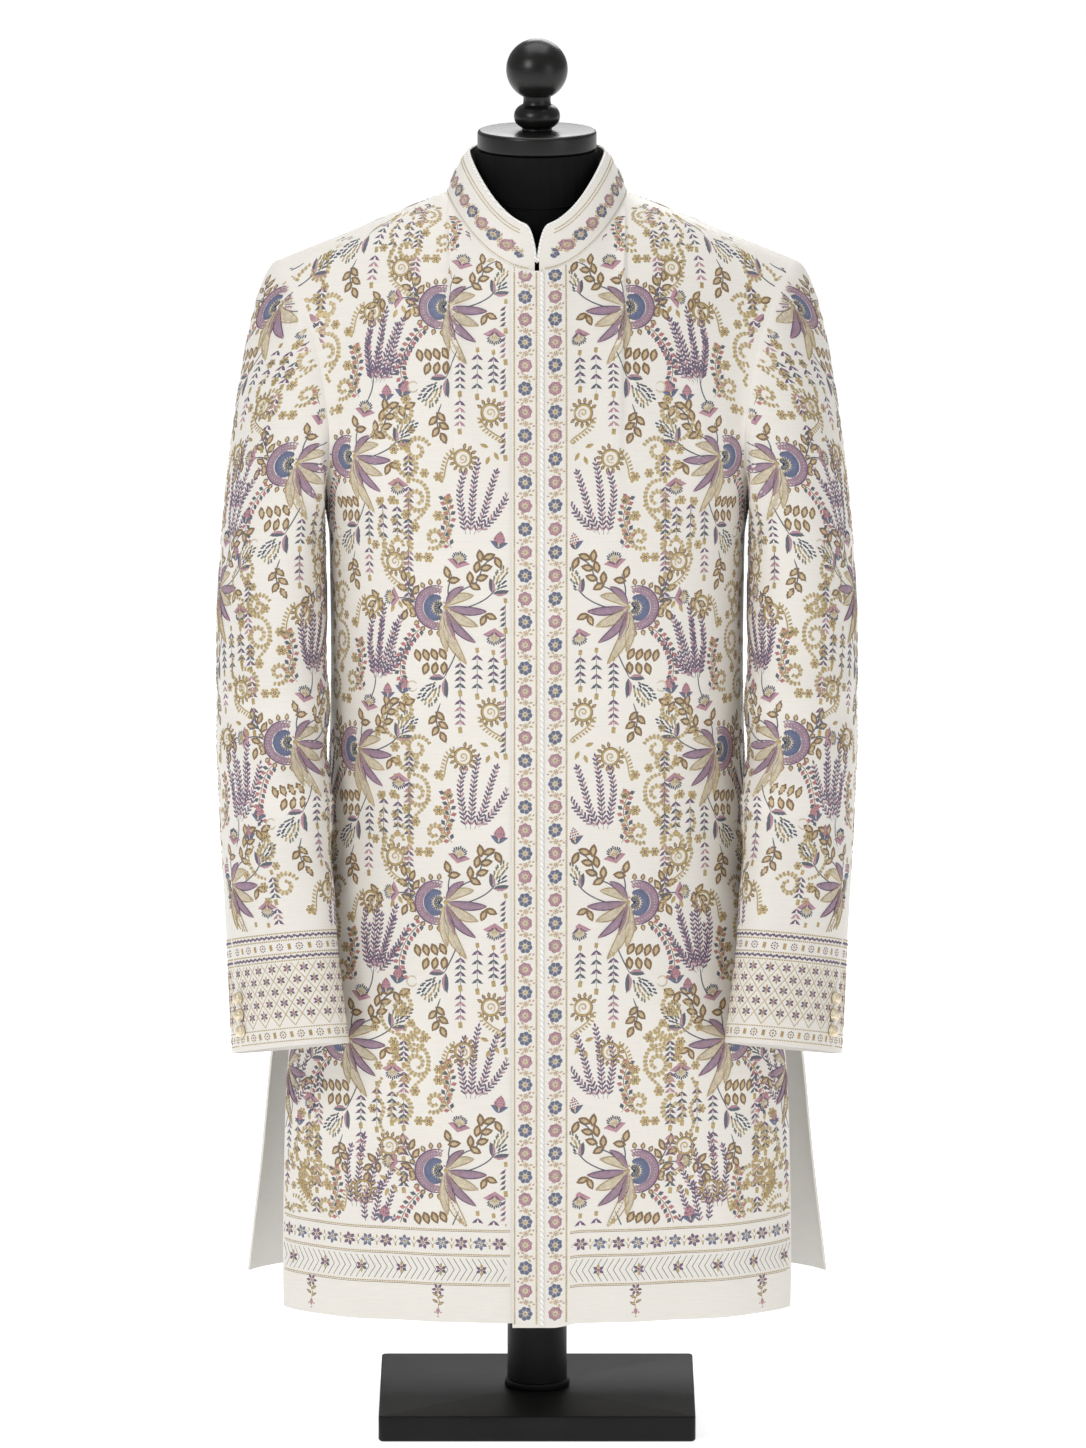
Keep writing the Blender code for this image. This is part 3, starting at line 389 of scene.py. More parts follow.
def sample(grid, rows, columns):
    """The grid's values at these places between its rows and columns."""
    low_r = np.clip(np.floor(rows).astype(int), 0, grid.shape[0] - 2)
    low_c = np.clip(np.floor(columns).astype(int), 0, grid.shape[1] - 2)
    r, c = rows - low_r, columns - low_c
    if grid.ndim == 3:
        r, c = r[..., None], c[..., None]
    return (
        grid[low_r, low_c] * (1 - r) * (1 - c)
        + grid[low_r + 1, low_c] * r * (1 - c)
        + grid[low_r, low_c + 1] * (1 - r) * c
        + grid[low_r + 1, low_c + 1] * r * c
    )


LEVEL_STEP = 0.004
MODEL_COLUMN = 0.100


class Cloth:
    """A fine sheet of surface points with flat cloth coordinates, in metres.

    across is the distance along a row from the column named zero. along is
    the distance up a column from its first row, plus the start given. Above
    the row named rising, rows climb to the neck or the armhole, so both are
    taken on level lines there, and the thread work hangs upright.
    """

    def __init__(self, grid, zero, start, rising=None, leaning=1.0):
        self.grid = grid
        self.normals = normals_of(grid)
        steps = np.linalg.norm(np.diff(grid, axis=1), axis=2)
        across = np.concatenate([np.zeros((len(grid), 1)), np.cumsum(steps, axis=1)], axis=1)
        self.across = across - across[:, zero : zero + 1]
        rises = np.linalg.norm(np.diff(grid, axis=0), axis=2)
        along = np.concatenate([np.zeros((1, grid.shape[1])), np.cumsum(rises, axis=0)])
        self.along = along + start
        self.rising = rising
        self.leaning = leaning
        if rising is not None:
            self._level_upper_rows(zero)
        self.low = float(self.across.min())
        self.wide = float(self.across.max()) - self.low
        self.bottom = start
        self.tall = float(self.along.max()) - start
        self._make_lookup()

    def _level_upper_rows(self, zero):
        first = self.rising
        upper = self.grid[first:]
        heights = np.maximum.accumulate(upper[..., 2], axis=0)
        heights = heights + np.arange(len(upper))[:, None] * 1e-7
        levels = np.arange(heights[0].min(), heights.max() + LEVEL_STEP, LEVEL_STEP)
        columns = upper.shape[1]
        numbers = np.arange(len(upper), dtype=float)
        points = np.zeros((len(levels), columns, 3))
        reached = np.zeros((len(levels), columns), bool)
        for j in range(columns):
            row = np.interp(levels, heights[:, j], numbers)
            points[:, j] = sample(upper, row, np.full(len(levels), float(j)))
            reached[:, j] = levels <= heights[-1, j]
        steps = np.linalg.norm(np.diff(points, axis=1), axis=2)
        out = np.tile(self.across[first], (len(levels), 1))
        for k in range(1, len(levels)):
            for way, edge in ((1, columns), (-1, -1)):
                for j in range(zero, edge, way):
                    before = j - way
                    if not reached[k, j]:
                        out[k, j] = out[k - 1, j]
                    elif j != zero and reached[k, before]:
                        out[k, j] = out[k, before] + way * steps[k, min(j, before)]
                    else:
                        drift = abs(points[k, j, 0]) - abs(points[k - 1, j, 0])
                        drift = drift * way * self.leaning if j != zero else 0.0
                        out[k, j] = out[k - 1, j] + drift
        for j in range(columns):
            self.across[first:, j] = np.interp(heights[:, j], levels, out[:, j])
        gaps = np.maximum(np.diff(self.across[first:], axis=1), 1e-6)
        left = self.across[first:, zero : zero + 1] - np.cumsum(gaps[:, :zero][:, ::-1], axis=1)[:, ::-1]
        right = self.across[first:, zero : zero + 1] + np.cumsum(gaps[:, zero:], axis=1)
        self.across[first:] = np.concatenate([left, self.across[first:, zero : zero + 1], right], axis=1)
        model = int(np.argmin(np.abs(self.across[first] - MODEL_COLUMN)))
        lengths = self.along[first:, model]
        climb = np.interp(heights, heights[:, model], lengths - lengths[0])
        climb += np.maximum(heights - heights[-1, model], 0.0) * 1.05
        start = np.interp(heights[0], heights[:, model], lengths - lengths[0])
        self.along[first:] = self.along[first] + climb - start

    def _make_lookup(self):
        rows, columns = self.across.shape
        self.cell = 0.0025
        s_values = self.low + np.arange(int(self.wide / self.cell) + 2) * self.cell
        t_values = self.bottom + np.arange(int(self.tall / self.cell) + 2) * self.cell
        column_at = np.array(
            [np.interp(s_values, self.across[i], np.arange(columns)) for i in range(rows)]
        )
        row_numbers = np.repeat(np.arange(rows, dtype=float)[:, None], len(s_values), axis=1)
        along_at = np.maximum.accumulate(sample(self.along, row_numbers, column_at), axis=0)
        self.row_table = np.zeros((len(t_values), len(s_values)))
        self.column_table = np.zeros_like(self.row_table)
        self.inside = np.zeros_like(self.row_table)
        for k, s in enumerate(s_values):
            row = np.interp(t_values, along_at[:, k], np.arange(rows))
            self.row_table[:, k] = row
            column = np.interp(row, np.arange(rows), column_at[:, k])
            self.column_table[:, k] = column
            low = np.interp(row, np.arange(rows), self.across[:, 0])
            high = np.interp(row, np.arange(rows), self.across[:, -1])
            room = np.minimum(s - low, high - s)
            top = along_at[-1, k]
            self.inside[:, k] = np.minimum(room, top - t_values)

    def place(self, flat):
        """Rows and columns of the grid for flat points (across, along, height above the cloth)."""
        r = (flat[:, 1] - self.bottom) / self.cell
        c = (flat[:, 0] - self.low) / self.cell
        rows = sample(self.row_table, r, c)
        columns = sample(self.column_table, r, c)
        inside = sample(self.inside, r, c)
        inside = np.minimum(inside, flat[:, 1] - self.bottom)
        surface = sample(self.grid, rows, columns)
        normal = unit(sample(self.normals, rows, columns))
        return surface + normal * flat[:, 2:3], inside


# Thread work, drawn flat in millimetres and laid on the cloth later

# Millimetres for one pixel of the photograph, in which the repeat is charted
PIXEL = 0.84
# Where a thread's edges start, below the cloth's surface
UNDER = -0.035
# How much wider threads are than their tables say
BOLD = 1.14
# Thread that the cloth would stretch beyond these shares is dropped
LEAST_STRETCH, MOST_STRETCH = 0.4, 1.6


class Work:
    """Flat thread work: for each thread colour, points, faces and a group for each face."""

    def __init__(self):
        self.parts = {}
        self.groups = 0

    def add(self, thread, points, faces, groups=1):
        """groups is 1 for a part that is kept or dropped whole, or the faces in each of its runs."""
        faces = np.asarray(faces, int)
        if groups == 1:
            group = np.full(len(faces), self.groups)
            self.groups += 1
        else:
            group = self.groups + np.arange(len(faces)) // groups
            self.groups = int(group[-1]) + 1
        self.parts.setdefault(thread, []).append((np.asarray(points, float), faces, group))

    def stamp(self, other, x=0.0, y=0.0, angle=0.0, scale=1.0, flip=1.0):
        """Adds a copy of another work, turned, sized and moved. flip is -1 for a mirror image."""
        c, s = math.cos(angle) * scale, math.sin(angle) * scale
        for thread, (points, faces, group) in other.joined().items():
            moved = points.copy()
            px = points[:, 0] * flip
            moved[:, 0] = x + px * c - points[:, 1] * s
            moved[:, 1] = y + px * s + points[:, 1] * c
            made = faces if flip > 0 else faces[:, ::-1]
            self.parts.setdefault(thread, []).append((moved, made, group + self.groups))
        self.groups += other.groups

    def joined(self):
        """One (points, faces, groups) for each thread colour."""
        made = {}
        for thread, parts in self.parts.items():
            start = 0
            points, faces, groups = [], [], []
            for some_points, some_faces, some_groups in parts:
                points.append(some_points)
                faces.append(some_faces + start)
                groups.append(some_groups)
                start += len(some_points)
            made[thread] = (np.concatenate(points), np.concatenate(faces), np.concatenate(groups))
        return made

    def count(self):
        return sum(len(faces) for parts in self.parts.values() for _, faces, _ in parts)


def curve(points, steps=4):
    """A smooth path through the points, with this many steps between two of them."""
    points = np.asarray(points, float)
    padded = np.concatenate([2 * points[:1] - points[1:2], points, 2 * points[-1:] - points[-2:-1]])
    p0, p1, p2, p3 = padded[:-3], padded[1:-2], padded[2:-1], padded[3:]
    made = [
        hermite(p1, (p2 - p0) / 2, p2, (p3 - p1) / 2, k / steps) for k in range(steps)
    ]
    return np.concatenate([np.stack(made, axis=1).reshape(-1, 2), points[-1:]])


def arc(x, y, radius, start, end, steps=10):
    turns = np.radians(np.linspace(start, end, steps))
    return np.stack([x + radius * np.cos(turns), y + radius * np.sin(turns)], axis=1)


def spiral(x, y, radius, start, turns, inner=0.25, steps=26):
    """From the outside in, with radius falling to a share of itself."""
    t = np.linspace(0, 1, steps)
    angle = math.radians(start) + t * turns * 2 * math.pi
    r = radius * (1 - (1 - inner) * t**0.8)
    return np.stack([x + r * np.cos(angle), y + r * np.sin(angle)], axis=1)


def spaced(path, gap, start=0.0):
    """Points at an even gap along a path, and the angle of the path there."""
    path = np.asarray(path, float)
    lengths = np.concatenate([[0.0], np.cumsum(np.linalg.norm(np.diff(path, axis=0), axis=1))])
    at = np.arange(start, lengths[-1], gap)
    xs = np.interp(at, lengths, path[:, 0])
    ys = np.interp(at, lengths, path[:, 1])
    ahead = np.minimum(at + gap * 0.3, lengths[-1])
    behind = np.maximum(at - gap * 0.3, 0.0)
    dx = np.interp(ahead, lengths, path[:, 0]) - np.interp(behind, lengths, path[:, 0])
    dy = np.interp(ahead, lengths, path[:, 1]) - np.interp(behind, lengths, path[:, 1])
    return xs, ys, np.arctan2(dy, dx)


def cord(work, thread, path, width=0.9, height=0.35, ends=0.5):
    """A raised line of thread along a path, narrower at its ends."""
    path = np.asarray(path, float)
    steps = np.gradient(path, axis=0)
    steps /= np.maximum(np.linalg.norm(steps, axis=1, keepdims=True), 1e-9)
    side = np.stack([-steps[:, 1], steps[:, 0]], axis=1)
    count = len(path)
    t = np.linspace(0, 1, count)
    full = ends + (1 - ends) * np.minimum(1.0, np.minimum(t, 1 - t) * 6)
    half = (width / 2 * BOLD * full)[:, None]
    low = np.full((count, 1), UNDER)
    top = (height * full)[:, None]
    left = np.hstack([path + side * half, low])
    middle = np.hstack([path, top])
    right = np.hstack([path - side * half, low])
    points = np.stack([left, middle, right], axis=1).reshape(-1, 3)
    i = np.arange(count - 1) * 3
    faces = np.stack(
        [
            np.stack([i, i + 1, i + 4], axis=1),
            np.stack([i, i + 4, i + 3], axis=1),
            np.stack([i + 1, i + 2, i + 5], axis=1),
            np.stack([i + 1, i + 5, i + 4], axis=1),
        ],
        axis=1,
    ).reshape(-1, 3)
    work.add(thread, points, faces, groups=4)


def stitches(work, thread, xs, ys, length, width, angles, height=0.4):
    """Short raised stitches, each a block that rises to its middle."""
    xs, ys = np.atleast_1d(xs).astype(float), np.atleast_1d(ys).astype(float)
    angles = np.broadcast_to(angles, xs.shape)
    length = np.broadcast_to(length, xs.shape) / 2
    width = np.broadcast_to(width, xs.shape) / 2 * BOLD
    c, s = np.cos(angles), np.sin(angles)
    points = []
    for u, v in ((0.95, 0.62), (-0.80, 0.86), (-0.95, -0.62), (0.80, -0.86)):
        px = xs + c * u * length - s * v * width
        py = ys + s * u * length + c * v * width
        points.append(np.stack([px, py, np.full(len(xs), UNDER)], axis=1))
    points.append(np.stack([xs, ys, np.full(len(xs), height)], axis=1))
    points = np.stack(points, axis=1).reshape(-1, 3)
    i = np.arange(len(xs))[:, None, None] * 5
    one = np.array([(k, (k + 1) % 4, 4) for k in range(4)])
    work.add(thread, points, (i + one).reshape(-1, 3), groups=4)


def beads(work, thread, xs, ys, radius, height=0.5, sides=6):
    """Small round knots, each a low dome."""
    xs, ys = np.atleast_1d(xs).astype(float), np.atleast_1d(ys).astype(float)
    radius = np.broadcast_to(radius, xs.shape)
    points = []
    for k in range(sides):
        turn = 2 * math.pi * k / sides
        px = xs + radius * math.cos(turn)
        py = ys + radius * math.sin(turn)
        points.append(np.stack([px, py, np.full(len(xs), UNDER)], axis=1))
    points.append(np.stack([xs, ys, np.full(len(xs), height)], axis=1))
    points = np.stack(points, axis=1).reshape(-1, 3)
    i = np.arange(len(xs))[:, None, None] * (sides + 1)
    one = np.array([(k, (k + 1) % sides, sides) for k in range(sides)])
    work.add(thread, points, (i + one).reshape(-1, 3), groups=sides)


def petal(work, thread, x, y, length, width, angle, height=0.35, steps=4, bend=0.0, point=0.8):
    """A filled petal or leaf from its foot at x, y, with a raised middle."""
    t = np.linspace(0, 1, steps + 1)
    half = width / 2 * BOLD * np.sin(math.pi * t**point) ** 0.8
    half[0] = width * 0.10
    half[-1] = 0.0
    across = bend * length * np.sin(math.pi * t)
    c, s = math.cos(angle), math.sin(angle)

    def turned_at(u, v):
        return np.stack([x + u * c - v * s, y + u * s + v * c], axis=1)

    low = np.full((steps + 1, 1), UNDER)
    top = (height * (0.4 + 0.6 * np.sin(math.pi * t)))[:, None]
    left = np.hstack([turned_at(t * length, across + half), low])
    middle = np.hstack([turned_at(t * length, across), top])
    right = np.hstack([turned_at(t * length, across - half), low])
    points = np.stack([left, middle, right], axis=1).reshape(-1, 3)
    faces = []
    for k in range(steps):
        i = 3 * k
        faces += [(i, i + 1, i + 4), (i, i + 4, i + 3), (i + 1, i + 2, i + 5), (i + 1, i + 5, i + 4)]
    work.add(thread, points, faces)


def two_tone_leaf(work, outer, inner, x, y, length, width, angle, bend=0.0):
    """A leaf with an outline of one thread and a filling of another."""
    petal(work, outer, x, y, length, width, angle, 0.22, 4, bend)
    inset = 0.14 * length
    ix = x + math.cos(angle) * inset
    iy = y + math.sin(angle) * inset
    petal(work, inner, ix, iy, length * 0.74, width * 0.55, angle, 0.55, 3, bend)


def flower(work, x, y, petals, length, width, outer, inner, centre, turn=0.0, lift=0.4):
    for k in range(petals):
        way = turn + 2 * math.pi * k / petals
        foot = length * 0.22
        px, py = x + math.cos(way) * foot, y + math.sin(way) * foot
        petal(work, outer, px, py, length * 0.86, width, way, lift, 3)
        if inner:
            at = length * 0.50
            stitches(
                work, inner, x + math.cos(way) * at, y + math.sin(way) * at,
                length * 0.5, width * 0.34, way, lift + 0.22,
            )
    beads(work, centre, x, y, length * 0.24, lift + 0.25)


def band_flower(petal_thread, dot_thread, rim_thread):
    """A round flower of seven petals for the front bands, 12 mm across."""
    work = Work()
    turns = np.arange(7) * 2 * math.pi / 7
    beads(work, petal_thread, 4.1 * np.cos(turns), 4.1 * np.sin(turns), 2.25, 0.5, 8)
    for degrees in (-20, 20):
        way = turns + math.radians(degrees)
        stitches(work, dot_thread, 4.6 * np.cos(way), 4.6 * np.sin(way), 1.7, 0.8, way, 0.80)
    between = turns + math.pi / 7
    stitches(work, rim_thread, 3.3 * np.cos(between), 3.3 * np.sin(between), 2.8, 0.8, between, 0.80)
    beads(work, "cream", 1.75 * np.cos(turns), 1.75 * np.sin(turns), 0.85, 0.75, 5)
    beads(work, "gold", 0.0, 0.0, 1.15, 0.9)
    return work


def band_bud():
    """The small gold rings and drops between the band's flowers."""
    work = Work()
    turns = np.arange(6) * math.pi / 3
    beads(work, "gold", 1.7 * np.cos(turns), 1.7 * np.sin(turns), 0.85, 0.5, 5)
    beads(work, "coral", 0.0, 0.0, 0.95, 0.6, 5)
    for x, y, angle in ((2.3, 0.8, 24), (-2.3, -0.8, 204), (2.3, -1.2, -30), (-2.3, 1.2, 150)):
        petal(work, "tan", x, y, 3.6, 2.0, math.radians(angle), 0.5, 3)
    for x, angle in ((5.8, 30), (-5.8, 150)):
        petal(work, "pink", x, 0.0, 2.4, 1.5, math.radians(angle), 0.5, 2)
    return work


def crescent(work):
    """The cup-shaped flower head at the heart of the repeat, open towards positive x."""
    cord(work, "mauve", arc(0.0, 0.0, 17.6, 72, 288, 20), 7.6, 0.42, 0.4)
    for radius, number, thread in ((20.2, 24, "pink"), (17.8, 22, "cream"), (15.4, 20, "pink")):
        turns = np.radians(np.linspace(76, 284, number))
        xs, ys = radius * np.cos(turns), radius * np.sin(turns)
        stitches(work, thread, xs, ys, 2.9, 1.5, turns + 0.7, 0.85)
    cord(work, "purple", arc(0.0, 0.0, 21.9, 72, 288, 24), 1.3, 0.62)
    cord(work, "blue", arc(1.0, 0.0, 9.6, 66, 294, 18), 8.6, 0.50, 0.4)
    turns = np.radians(np.linspace(78, 282, 20))
    stitches(work, "slate", 1 + 11.6 * np.cos(turns), 11.6 * np.sin(turns), 3.4, 0.9, turns, 0.78)
    cord(work, "slate", arc(4.0, 0.0, 3.4, 50, 310, 10), 6.6, 0.44, 0.4)
    for radius, number, thread in ((7.6, 11, "cream"), (5.2, 9, "gold"), (2.8, 5, "cream")):
        turns = np.radians(np.linspace(84, 276, number))
        xs, ys = 3 + radius * np.cos(turns), radius * np.sin(turns)
        stitches(work, thread, xs, ys, 2.6, 1.3, turns, 0.85)
    for degrees in np.linspace(84, 276, 11):
        turn = math.radians(degrees)
        x, y = 22.6 * math.cos(turn), 22.6 * math.sin(turn)
        two_tone_leaf(work, "brown", "tan", x, y, 7.0, 5.4, turn)
    for number in range(9):
        way = math.radians(-72 + number * 18)
        beads(work, "gold", 6 + 5.6 * math.cos(way), 5.6 * math.sin(way), 1.2, 0.75, 5)
    beads(work, "gold", 9.5, -0.5, 2.8, 0.85, 7)


RIBBONS = (
    (28, -22, 7.0, "mauve", -0.10),
    (38, -13, 7.0, "cream", -0.10),
    (51, 3, 8.5, "mauve", 0.04),
    (42, 18, 8.0, "cream", 0.08),
    (40, 35, 8.0, "mauve", 0.10),
    (31, 57, 8.0, "cream", 0.10),
    (19, 32, 7.0, "mauve", 0.06),
    (11, 45, 7.5, "cream", 0.06),
)


def ribbons(work):
    """Long petals that droop from the flower head's open side, each ribbed with dots."""
    foot_x, foot_y = 9.0, -1.0
    for x, y, wide, thread, bend in RIBBONS:
        wide = wide * (0.98 if thread == "mauve" else 1.20)
        length, angle = math.hypot(x - foot_x, y - foot_y), math.atan2(y - foot_y, x - foot_x)
        petal(work, thread, foot_x, foot_y, length, wide, angle, 0.66, 6, bend, 1.15)
        c, s = math.cos(angle), math.sin(angle)
        rim, dots = ("purple", "pink") if thread == "mauve" else ("gold", "tan")
        for side in (-1, 0, 1):
            t = np.linspace(0.12, 0.97, 8)
            spread = bend * length * np.sin(math.pi * t)
            spread = spread + side * wide * 0.50 * np.sin(math.pi * t**1.15) ** 0.8
            path_x = foot_x + c * t * length - s * spread
            path_y = foot_y + s * t * length + c * spread
            path = np.stack([path_x, path_y], axis=1)
            if side:
                cord(work, rim, path, 1.0, 0.80)
            else:
                qx, qy, ways = spaced(path, 3.3, 3.0)
                stitches(work, dots, qx, qy, 3.2, 2.2, ways + 0.7, 1.12)


def fat_leaf(work, x, y, turn, length=12.0, width=7.2):
    """A plump leaf around its middle, with a brown outline and a pale gold filling."""
    way = math.radians(turn)
    length, width = length * 1.14, width * 1.12
    fx, fy = x - math.cos(way) * length / 2, y - math.sin(way) * length / 2
    petal(work, "brown", fx, fy, length, width, way, 0.30, 4, 0.0, 0.86)
    ix, iy = fx + math.cos(way) * length * 0.17, fy + math.sin(way) * length * 0.17
    petal(work, "tan", ix, iy, length * 0.66, width * 0.58, way, 0.62, 3, 0.0, 0.86)


def plume_leaf(work, x, y, turn, length=17.0, width=6.5, upper="slate", lower="pink"):
    """A leaf in two colours, split down its middle."""
    way = math.radians(turn)
    petal(work, upper, x, y, length, width, way, 0.45, 4, 0.06)
    petal(work, lower, x, y, length * 0.92, width * 0.55, way + 0.14, 0.62, 4, 0.08)


def thistle(work, x, y, angle, size=1.0, cap="pink", body="slate"):
    """A bud seen from the side: a cap of broad petals, and rows of dark dashes that open from it."""
    made = Work()
    petal(made, "cream", -2.0, 0.0, 15.0, 12.0, 0.0, 0.30, 4, 0.0, 0.8)
    for degrees, length in ((-48, 9.0), (-24, 11.0), (0, 12.0), (24, 11.0), (48, 9.0)):
        way = math.radians(degrees)
        for step, thread in ((0.40, "gold"), (0.66, "cream"), (0.95, body)):
            sx, sy = 1.0 + math.cos(way) * length * step, math.sin(way) * length * step
            stitches(made, thread, sx, sy, 4.2, 1.7, way, 0.75)
    for degrees in (-36, -12, 12, 36):
        way = math.radians(degrees)
        stitches(made, body, 1 + math.cos(way) * 10.2, math.sin(way) * 10.2, 4.4, 1.7, way, 0.7)
    for sign in (-1, 1):
        petal(made, cap, -3.0, 0.0, 13.5, 5.8, sign * math.radians(64), 0.5, 4, -sign * 0.16)
        petal(made, "purple", -2.0, 0.0, 10.5, 3.4, sign * math.radians(50), 0.66, 4, -sign * 0.14)
    petal(made, cap, -4.5, 0.0, 7.0, 7.5, 0.0, 0.55, 3)
    work.stamp(made, x, y, math.radians(angle), size)


def cone_bud(work, x, y, angle, size=1.0):
    """A dotted pink bud between two dark leaves."""
    made = Work()
    petal(made, "pink", 0.0, 0.0, 17.0, 12.5, 0.0, 0.30, 4, 0.0, 0.75)
    for row, (at, half, count) in enumerate(
        ((2.5, 3.4, 4), (5.3, 4.4, 5), (8.1, 4.0, 4), (10.9, 3.0, 4), (13.4, 1.5, 2), (15.4, 0, 1))
    ):
        ys = np.linspace(-half, half, count)
        beads(made, ("purple", "coral")[row % 2], np.full(count, at), ys, 1.15, 0.62, 5)
    for sign in (-1, 1):
        petal(made, "blue", -2.0, 0.0, 12.0, 4.6, sign * math.radians(52), 0.6, 4, -sign * 0.12)
        petal(made, "slate", -2.0, 0.0, 9.0, 3.0, sign * math.radians(28), 0.7, 3)
    petal(made, "cream", -1.0, 0.0, 6.0, 3.0, 0.0, 0.75, 3)
    work.stamp(made, x, y, math.radians(angle), size)


def berry_twig(work, path, gap=5.4, threads=("slate", "coral"), size=1.0):
    """A thin stem with round-ended drops on both sides, turn about in two colours."""
    path = curve(path, 5)
    cord(work, "brown", path, 0.8, 0.3)
    xs, ys, angles = spaced(path, gap, gap * 0.5)
    for k, (x, y, angle) in enumerate(zip(xs, ys, angles)):
        for sign in (-1, 1):
            way = angle + sign * math.radians(58)
            foot = 1.2
            petal(
                work, threads[(k + (sign > 0)) % 2], x + math.cos(way) * foot, y + math.sin(way) * foot,
                6.4 * size, 4.4 * size, way, 0.55, 2, 0.0, 1.3,
            )
    beads(work, threads[0], *path[-1], 1.9 * size, 0.6, 6)


def plume(work, path, gap=4.3, length=6.0, width=2.1, threads=("purple", "pink")):
    """A branch of short leaves in pairs, as on a sprig of lavender."""
    path = curve(path, 4)
    cord(work, "slate", path, 0.8, 0.28)
    xs, ys, angles = spaced(path, gap, gap)
    count = max(len(xs), 1)
    for k, (x, y, angle) in enumerate(zip(xs, ys, angles)):
        size = 1.0 - 0.25 * k / count
        for sign in (-1, 1):
            way = angle + sign * math.radians(40)
            thread = threads[(k + (sign > 0)) % len(threads)] if k % 3 == 0 else threads[0]
            half = length * size / 2
            sx, sy = x + math.cos(way) * half, y + math.sin(way) * half
            stitches(work, thread, sx, sy, 2 * half, width, way, 0.5)
    petal(work, threads[0], *path[-1], length * 0.8, width, angles[-1], 0.5, 2)


def seed_spray(work, x, y, angle, size=1.0):
    """A dense tuft of short dashes in greys, green and gold."""
    made = Work()
    threads = ("slate", "sage", "gold", "sage", "navy")
    number = 0
    for at in np.arange(2.0, 27.0, 3.6):
        half = 2.0 + 6.5 * math.sin(math.pi * min(at / 25.0, 1.0) * 0.8)
        count = max(2, int(half * 2 / 3.4) + 1)
        for y0 in np.linspace(-half, half, count):
            way = math.radians(y0 * 5.0)
            stitches(made, threads[number % 5], at + (number % 2) * 0.9, y0, 4.8, 2.3, way, 0.55)
            number += 1
    work.stamp(made, x, y, math.radians(angle), size)


def wheat_string(work, x, top, bottom):
    """A hanging string of chevron leaves in fours, with gold diamonds between them."""
    length = bottom - top
    groups = max(1, round(length / 33))
    step = length / groups
    cord(work, "slate", np.array([(x, top), (x, (top + bottom) / 2), (x, bottom)]), 0.7, 0.25)
    stitches(work, "gold", x, top, 6.0, 4.4, math.pi / 2, 0.6)
    for g in range(groups):
        start = top + g * step
        for k in range(4):
            y = start + 5.0 + k * (step - 10.0) / 4
            for sign in (-1, 1):
                way = math.pi / 2 + sign * math.radians(48)
                thread = ("purple", "purple", "slate", "pink")[(g + 2 * k) % 4]
                petal(work, thread, x, y, 7.8, 3.0, way, 0.55, 2, -sign * 0.10)
        end = start + step - 1.5
        stitches(work, "gold", x, end, 7.4, 5.0, math.pi / 2, 0.6)
        stitches(work, "tan", x, end, 3.0, 2.0, math.pi / 2, 0.85)


def medallion(work, x, y, size=1.0, turn=0.0):
    """A small sun with a spiral inside, a fringe of leaves round it and a curved, ticked tail."""
    made = Work()
    cord(made, "tan", spiral(0, 0, 5.6, 60, -1.3, 0.15, 16), 1.7, 0.55)
    cord(made, "gold", arc(0, 0, 8.8, 0, 360, 20), 2.6, 0.6)
    cord(made, "brown", arc(0, 0, 10.2, 0, 360, 20), 0.8, 0.45)
    for degrees in np.arange(-150, 160, 26):
        way = math.radians(degrees)
        two_tone_leaf(made, "brown", "gold", 10.2 * math.cos(way), 10.2 * math.sin(way), 6.6, 4.0, way)
    tail = curve([(-9, 3), (-7, 13), (2, 21), (12, 27), (15, 31)], 4)
    cord(made, "gold", tail, 1.5, 0.5)
    px, py, angles = spaced(tail, 3.8, 3.0)
    lean = angles + math.pi / 2
    stitches(made, "gold", px + np.cos(lean) * 3.4, py + np.sin(lean) * 3.4, 5.0, 2.3, lean + 0.3, 0.6)
    beads(made, "gold", *tail[-1], 2.2, 0.6, 6)
    work.stamp(made, x, y, turn, size)


def ticked(work, path, wide=7.0, gap=4.1):
    """A gold band of short bars across a curve, on a paler ground."""
    path = np.asarray(path, float)
    px, py, angles = spaced(path, gap, 1.0)
    t = np.linspace(0, 1, len(px))
    size = wide * (0.62 + 0.38 * np.sin(math.pi * np.clip(t * 0.95 + 0.05, 0, 1)))
    cord(work, "cream", path[::2], wide * 0.60, 0.16, 0.6)
    stitches(work, "gold", px, py, size, 2.9, angles + math.pi / 2 + 0.22, 0.65)


def scroll_rosette(work, x, y, size=1.0):
    turns = np.radians(np.arange(0, 360, 60))
    xs, ys = x + 3.7 * size * np.cos(turns), y + 3.7 * size * np.sin(turns)
    beads(work, "gold", xs, ys, 2.1 * size, 0.6, 6)
    beads(work, "brown", x, y, 2.4 * size, 0.5, 6)
    beads(work, "tan", x, y, 1.5 * size, 0.8, 6)


